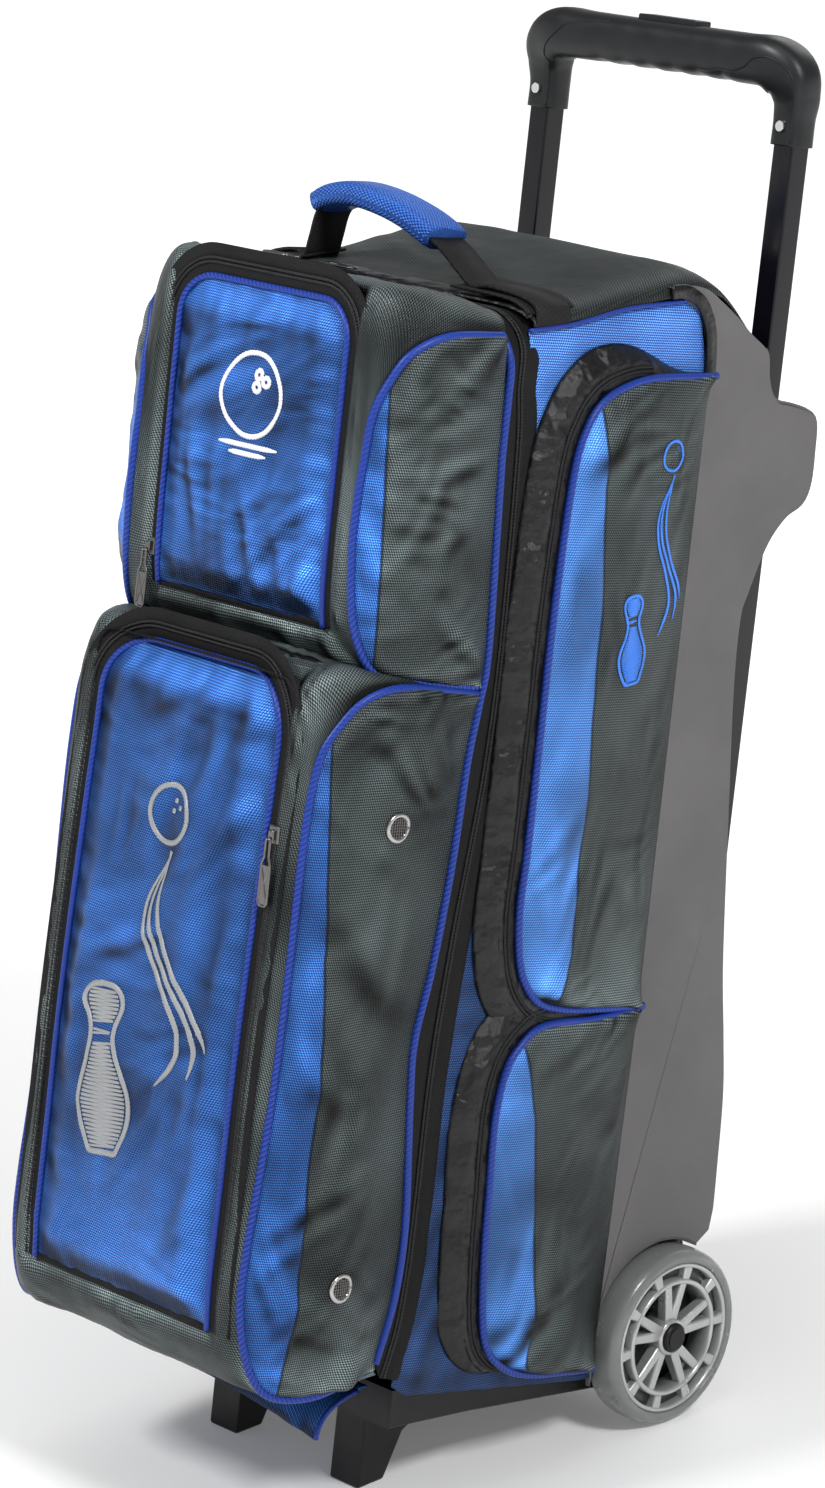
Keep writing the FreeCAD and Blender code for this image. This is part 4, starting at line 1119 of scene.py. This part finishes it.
wrap = loft("carry_wrap_cover", path, section, UPWARD, "wrap_blue", scale=swell)
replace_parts(wrap, "carry_wrap")

# ------------------------ zip sliders and pulls

def rounded_box(name, low, high, radius, material, body):
    corners = [(x, y, z) for x in (low[0], high[0]) for y in (low[1], high[1]) for z in (low[2], high[2])]
    return block(name, corners, radius, material, body)


def pull_tab(name, node, body, hang):
    """A cast pull: a frame with cross ribs that widens towards its free end."""
    low, high = bag_box(node)
    size = high - low
    long, thin = int(np.argmax(size)), int(np.argmin(size))
    wide = 3 - long - thin
    reach, half = size[long], size[wide] / 2

    def at(along, over, out=0.0):
        """The point at a share of the pull's length and of its half width."""
        point = (low + high) / 2
        point[long] = (high[long] - along * reach) if hang < 0 else (low[long] + along * reach)
        point[wide] += over * half
        point[thin] += out
        return point

    edge = [(0.5 / reach, 0.45), (0.28, 0.5), (0.38, 0.95), (1 - 2 / reach, 1.0), (1, 0.6)]
    loop = [(along, -over) for along, over in edge] + edge[::-1]
    bars = (loop + loop[:1], [(0.42, -0.8), (0.92, 0.8)], [(0.42, 0.8), (0.92, -0.8)])
    facing = np.eye(3)[thin]
    for number, path in enumerate(bars):
        loft("%s_bar_%d" % (name, number), even([at(*share) for share in path], 1.0), ring(0.95, 8, 0.9), facing,
             "gunmetal", body)
    ends = [at(0.4, -0.85, -0.35), at(1 - 1 / reach, 0.85, 0.35)]
    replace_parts(rounded_box(name + "_plate", np.min(ends, 0), np.max(ends, 0), 0.3, "gunmetal", body), node)


def slider(name, node, body, material, thin, outward=1):
    """A slider: a base plate with a narrower bridge on it."""
    low, high = bag_box(node)
    middle = (low + high) / 2
    base, bridge = np.array([low, high]), np.array([low, high]) + (high - low) * [[0.24], [-0.24]]
    near, far = (0, 1) if outward > 0 else (1, 0)
    base[far, thin] = middle[thin]
    bridge[near, thin], bridge[far, thin] = middle[thin] - 0.5 * outward, (low, high)[far][thin]
    base = rounded_box(name + "_base", *base, 1.2, material, body)
    rounded_box(name + "_bridge", *bridge, 0.9, material, body)
    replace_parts(base, node)


for word, thin, hang in (("left_main", 2, -1), ("right_main", 2, 1), ("upper_front", 1, -1), ("lower_front", 1, -1)):
    slider(word + "_runner", word + "_slider", word + "_slider_body", "gunmetal", thin, 1 if thin == 2 else -1)
    pull_tab(word + "_tab", word + "_pull", word + "_pull_body", hang)
for word, _ in SIDES:
    for level in SIDE_POCKETS:
        name = "%s_%s_side" % (word, level)
        slider(name + "_runner", name + "_slider", name + "_slider_body", "coil", 2)

# ------------------------ ball cups and grommets

for word in ("bottom", "middle", "top"):
    low, high = bag_box(word + "_ball_cup")
    centre = (low + high) / 2
    outer, inner, tall = (high[0] - low[0]) / 2, 48.0, high[2] - low[2]
    profile = spline([(inner, 1), (inner + 0.5, tall - 7), (inner + 6, tall - 0.5), (outer - 6, tall - 1.5),
                      (outer - 0.5, tall - 8), (outer, 1)], 6)
    c, s = circle(72)
    radius, height = profile.T
    p = stack(centre[0] + radius * c[:, None], centre[1] + radius * s[:, None], low[2] + height)
    uv = stack(57 * np.linspace(0, FULL_TURN, 72, endpoint=False)[:, None], lengths(profile))
    cup = make(word + "_cup_ring", p, grid_faces(73, len(profile), wrap=True) % (72 * len(profile)), uv, "foam")
    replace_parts(cup, word + "_ball_cup")

GROMMET_R, WIRE_GAP = 8.4, 1.9
OUTSIDE = 140.0                     # x from which the grommets are dropped on to the cloth
turn = np.radians(np.arange(0, 361, 12))
for word, side in SIDES:
    tree = surface("%s_lower_front_side" % word)
    for level, y, z in (("upper", door_low[1] - 62, 384), ("lower", door_low[1] - 73, 80)):
        name = "%s_%s_grommet" % (word, level)
        loop = stack(side * OUTSIDE, y + GROMMET_R * np.cos(turn), z + GROMMET_R * np.sin(turn))
        rim, facing = drape(loop, (-side, 0, 0), tree, 0.6)
        eyelet = loft(name, rim, ring(1.7, 10, 0.7), facing, "metal", "front_door")
        backing = np.vstack([rim[:-1] + 0.2 * facing[:-1], rim.mean(0) + 0.8 * facing.mean(0)])
        count = len(backing) - 1
        disc = [(k, (k + 1) % count, count)[::side] for k in range(count)]
        make(name + "_back", backing, disc, backing[:, 1:], "black_plastic", "front_door", "steel")
        for number in range(-4, 5):
            reach = math.sqrt(GROMMET_R ** 2 - (number * WIRE_GAP) ** 2)
            along, over = np.linspace(-reach, reach, 7), number * WIRE_GAP
            for letter, dy, dz in (("a", over, along), ("b", along, over)):
                wire, out = drape(stack(side * OUTSIDE, y + dy, z + dz), (-side, 0, 0), tree, 1.3)
                loft("%s_mesh_%s_%d" % (name, letter, number + 4), wire, ring(0.35, 5), out, "gunmetal",
                     "front_door", "steel")
        if side > 0 and level == "upper":
            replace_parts(eyelet, "vent_grommets")

# ------------------------ generic embroidery

def stitched(name, points, radius, cloth, taper=None):
    """A raised satin stroke that follows the cloth under it."""
    heading, tree, material, body = cloth
    line, facing = drape(even(points, 1.3), heading, tree, 0.3)
    for _ in range(6):
        line[1:-1] = (line[:-2] + 2 * line[1:-1] + line[2:]) / 4
    if np.linalg.norm(np.subtract(points[0], points[-1])) < 0.5:
        line[0] = line[-1] = (line[1] + line[-2]) / 2
    beat = 1 + 0.10 * np.where(np.arange(len(line)) % 2, 1.0, -1.0)
    if taper:
        beat = beat * np.interp(np.linspace(0, 1, len(line)), *taper)
    loft(name, line, ring(radius, 8, 0.45), facing, material, body, scale=beat)


def ball_badge(name, x, z, radius, cloth, stroke):
    """A plain ball with three finger holes, over two short lane lines."""
    y = -430.0
    turn = np.radians(np.arange(0, 361, 8))
    rings = [("rim", 0, 0, 1)] + [("hole_%d" % k, dx, dz, 0.13) for k, (dx, dz) in
                                  enumerate(((0.18, 0.50), (0.46, 0.36), (0.16, 0.20)))]
    for word, dx, dz, size in rings:
        loop = stack(x + radius * dx + radius * size * np.cos(turn), y, z + radius * dz + radius * size * np.sin(turn))
        stitched("%s_%s" % (name, word), loop, stroke, cloth)
    for number, (drop, reach) in enumerate(((1.22, 0.95), (1.42, 0.6))):
        lane = [(x + way_x * reach * radius, y, z - drop * radius) for way_x in (-1, 1)]
        stitched("%s_lane_%d" % (name, number), lane, stroke, cloth, ([0, 0.15, 0.85, 1], [0.4, 1, 1, 0.4]))


# The right half of a pin's outline, with the pin's height as 1.
PIN = [(0.0, 1.0), (0.10, 0.985), (0.155, 0.93), (0.16, 0.86), (0.115, 0.77), (0.10, 0.68), (0.135, 0.56),
       (0.205, 0.42), (0.23, 0.30), (0.20, 0.16), (0.13, 0.02), (0.12, 0.0), (0.0, 0.0)]


def lane_motif(name, low, high, face, size, cloth, stroke):
    """A pin outline, a rolling ball and the swinging strokes of its path, between two points."""
    low, high = np.asarray(low, float), np.asarray(high, float)
    run = np.linalg.norm(high - low)
    along = (high - low) / run
    over = unit(np.cross(along, face))
    tilt = math.radians(14)
    leaning = np.array([[math.cos(tilt), math.sin(tilt)], [-math.sin(tilt), math.cos(tilt)]])

    def stitch(word, points, weight, taper=None):
        stitched("%s_%s" % (name, word), low + points[:, 1:] * along + points[:, :1] * over, weight * stroke, cloth,
                 taper)

    half = spline(np.array(PIN) * size, 8)
    stitch("pin", np.vstack([half, half[-2::-1] * (-1, 1)]) @ leaning, 1)
    order = np.argsort(half[:, 1])
    for word, begin, stop in (("foot", 0.03, 0.66), ("neck", 0.70, 0.73), ("head", 0.77, 0.97)):
        levels = np.arange(begin * size, stop * size, 0.62 * stroke)
        reach = np.interp(levels, half[order, 1], half[order, 0]) - 0.9 * stroke
        stitch(word, stack(reach * np.where(np.arange(len(levels)) % 2, 1, -1), levels) @ leaning, 0.42)
    t = np.linspace(0, 1, 60)
    begin, ball = 0.55 * size, 0.17 * size
    for number, (swing, shift, start) in enumerate(((0.20, 0.34, 0.0), (0.20, 0.46, 0.10), (0.16, 0.58, 0.24))):
        u = start + (1 - start) * t
        x = shift * (1 - u) + swing * np.sin(2.2 * math.pi * u) * (1 - 0.35 * u) + 0.06 * number * (1 - u)
        stitch("path_%d" % number, stack(size * x, begin + (run - begin - 2.2 * ball) * u), 1,
               ([0, 0.1, 0.6, 1], [0.3, 1.1, 1.0, 0.3]))
    turn = np.linspace(0, FULL_TURN, 40)
    ball_rim = stack(np.cos(turn), np.sin(turn))
    centre = np.array([0.0, run - ball])
    stitch("ball", centre + ball * ball_rim, 0.9)
    for number, dot in enumerate(((0.15, 0.52), (0.48, 0.36), (0.14, 0.16))):
        stitch("hole_%d" % number, centre + ball * (dot + 0.09 * ball_rim), 0.6)


ball_badge("upper_badge", 3, 642, 27,
           (BACKWARD, surface("upper_front_panel"), "white_thread", "upper_front_flap_body"), 1.7)
lane_motif("lower_motif", (-24, -440, 136), (4, -440, 388), FORWARD, 112,
           (BACKWARD, surface("lower_front_panel"), "thread", "lower_front_flap_body"), 2.2)
for word, side in SIDES:
    lane_motif(word + "_side_motif", (side * 165, -120, 470), (side * 165, -102, 632), (side, 0, 0), 60,
               ((-side, 0, 0), surface(word + "_upper_side_cover"), "blue_thread", word + "_upper_side_flap_body"),
               1.2)

# ------------------------ fabric hanging under the front

UNDER_REACH, UNDER_LENGTH = 97.0, 0.055
across, deep = np.meshgrid(np.linspace(-1, 1, 80), np.linspace(0, 1, 40))
x = UNDER_REACH * across
hem = -30 - 7 * across - 4 * across ** 2
flutter = 1.2 * creases(x, 60 * deep, 301, 80, 70, 30)
y = -248 - 43 * np.sin(deep * math.pi / 2) ** 0.8 - flutter * deep
p = stack(x, y, -12 + (hem + 12) * deep ** 1.6)
under = sheet_piece("under_flap", p, "blue", None, CLOTH, FORWARD)
hems = [piping(word + "_under_piping", p[4:, column], None, (side, 0, 0), 1.8)
        for (word, side), column in zip(SIDES, (79, 0))]
crossing = [tuple(to_row([0, y, -14])) for y in (-252, -280)]
for piece in (under, *hems):
    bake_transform(piece)

# ------------------------ floor, light and camera

def wired(tree, source, outlet, kind, operation=None):
    """A node after a texture coordinate, followed by a map range: returns the latter."""
    first, second = tree.nodes.new(kind), tree.nodes.new("ShaderNodeMapRange")
    if operation:
        first.operation = operation
    tree.links.new(tree.nodes.new("ShaderNodeTexCoord").outputs[source], first.inputs[0])
    tree.links.new(first.outputs[outlet], second.inputs["Value"])
    return second


def set_inputs(node, **values):
    for key, value in values.items():
        node.inputs[key.replace("_", " ")].default_value = value


def stage_and_camera():
    """Pale floor, soft studio lights and the camera at the viewing angle."""
    scene = bpy.context.scene
    grey = bpy.data.materials.new("floor_grey")
    grey.use_nodes = True
    shader = grey.node_tree.nodes["Principled BSDF"]
    set_inputs(shader, Base_Color=(0.86, 0.86, 0.86, 1), Roughness=0.7, Emission_Color=(1, 1, 1, 1))
    glow = wired(grey.node_tree, "Object", "Value", "ShaderNodeVectorMath", "LENGTH")
    set_inputs(glow, From_Min=0.3, From_Max=3.0, To_Min=0.12, To_Max=0.80)
    grey.node_tree.links.new(glow.outputs["Result"], shader.inputs["Emission Strength"])
    mesh = bpy.data.meshes.new("floor")
    size = 400.0
    mesh.from_pydata([(-size, -size, 0), (size, -size, 0), (size, size, 0), (-size, size, 0)], [], [(0, 1, 2, 3)])
    placed("floor", mesh, grey)

    scene.world = bpy.data.worlds.new("studio")
    scene.world.use_nodes = True
    tree = scene.world.node_tree
    background = tree.nodes["Background"]
    set_inputs(background, Color=(1.0, 1.0, 1.0, 1))
    glow = wired(tree, "Generated", 2, "ShaderNodeSeparateXYZ")
    set_inputs(glow, From_Min=0.04, From_Max=0.10, To_Min=1.0, To_Max=0.28)
    tree.links.new(glow.outputs[0], background.inputs["Strength"])
    scene.view_settings.view_transform = "Standard"

    middle = Vector((0, 0, 0.48))
    for name, place, size, power in (("key", (-0.8, -2.5, 3.1), 0.7, 88), ("side", (2.7, -0.5, 3.0), 0.7, 86),
                                     ("back", (-1.0, 3.0, 2.6), 2.0, 26), ("top", (0.2, -0.6, 3.2), 1.2, 10)):
        light = bpy.data.lights.new(name, "AREA")
        light.size = size
        light.energy = power
        lamp = bpy.data.objects.new(name, light)
        lamp.location = place
        lamp.rotation_mode = "QUATERNION"
        lamp.rotation_quaternion = (middle - Vector(place)).to_track_quat("-Z", "Y")
        scene.collection.objects.link(lamp)

    azimuth, pitch, roll = math.radians(45.76), math.radians(16.41), math.radians(0.285)
    right = Vector((math.cos(azimuth), math.sin(azimuth), 0))
    back = Vector((math.sin(azimuth) * math.cos(pitch), -math.cos(azimuth) * math.cos(pitch), math.sin(pitch)))
    up = back.cross(right)
    data = bpy.data.cameras.new("camera")
    data.lens = 116.2
    data.sensor_width = 36.0
    data.clip_end = 1000.0
    camera = bpy.data.objects.new("camera", data)
    basis = Matrix((math.cos(roll) * right + math.sin(roll) * up, -math.sin(roll) * right + math.cos(roll) * up, back))
    basis = basis.transposed().to_4x4()
    basis.translation = (2.2300, -2.1651, 1.4021)
    camera.matrix_world = basis
    scene.collection.objects.link(camera)
    bpy.context.scene.camera = camera


stage_and_camera()
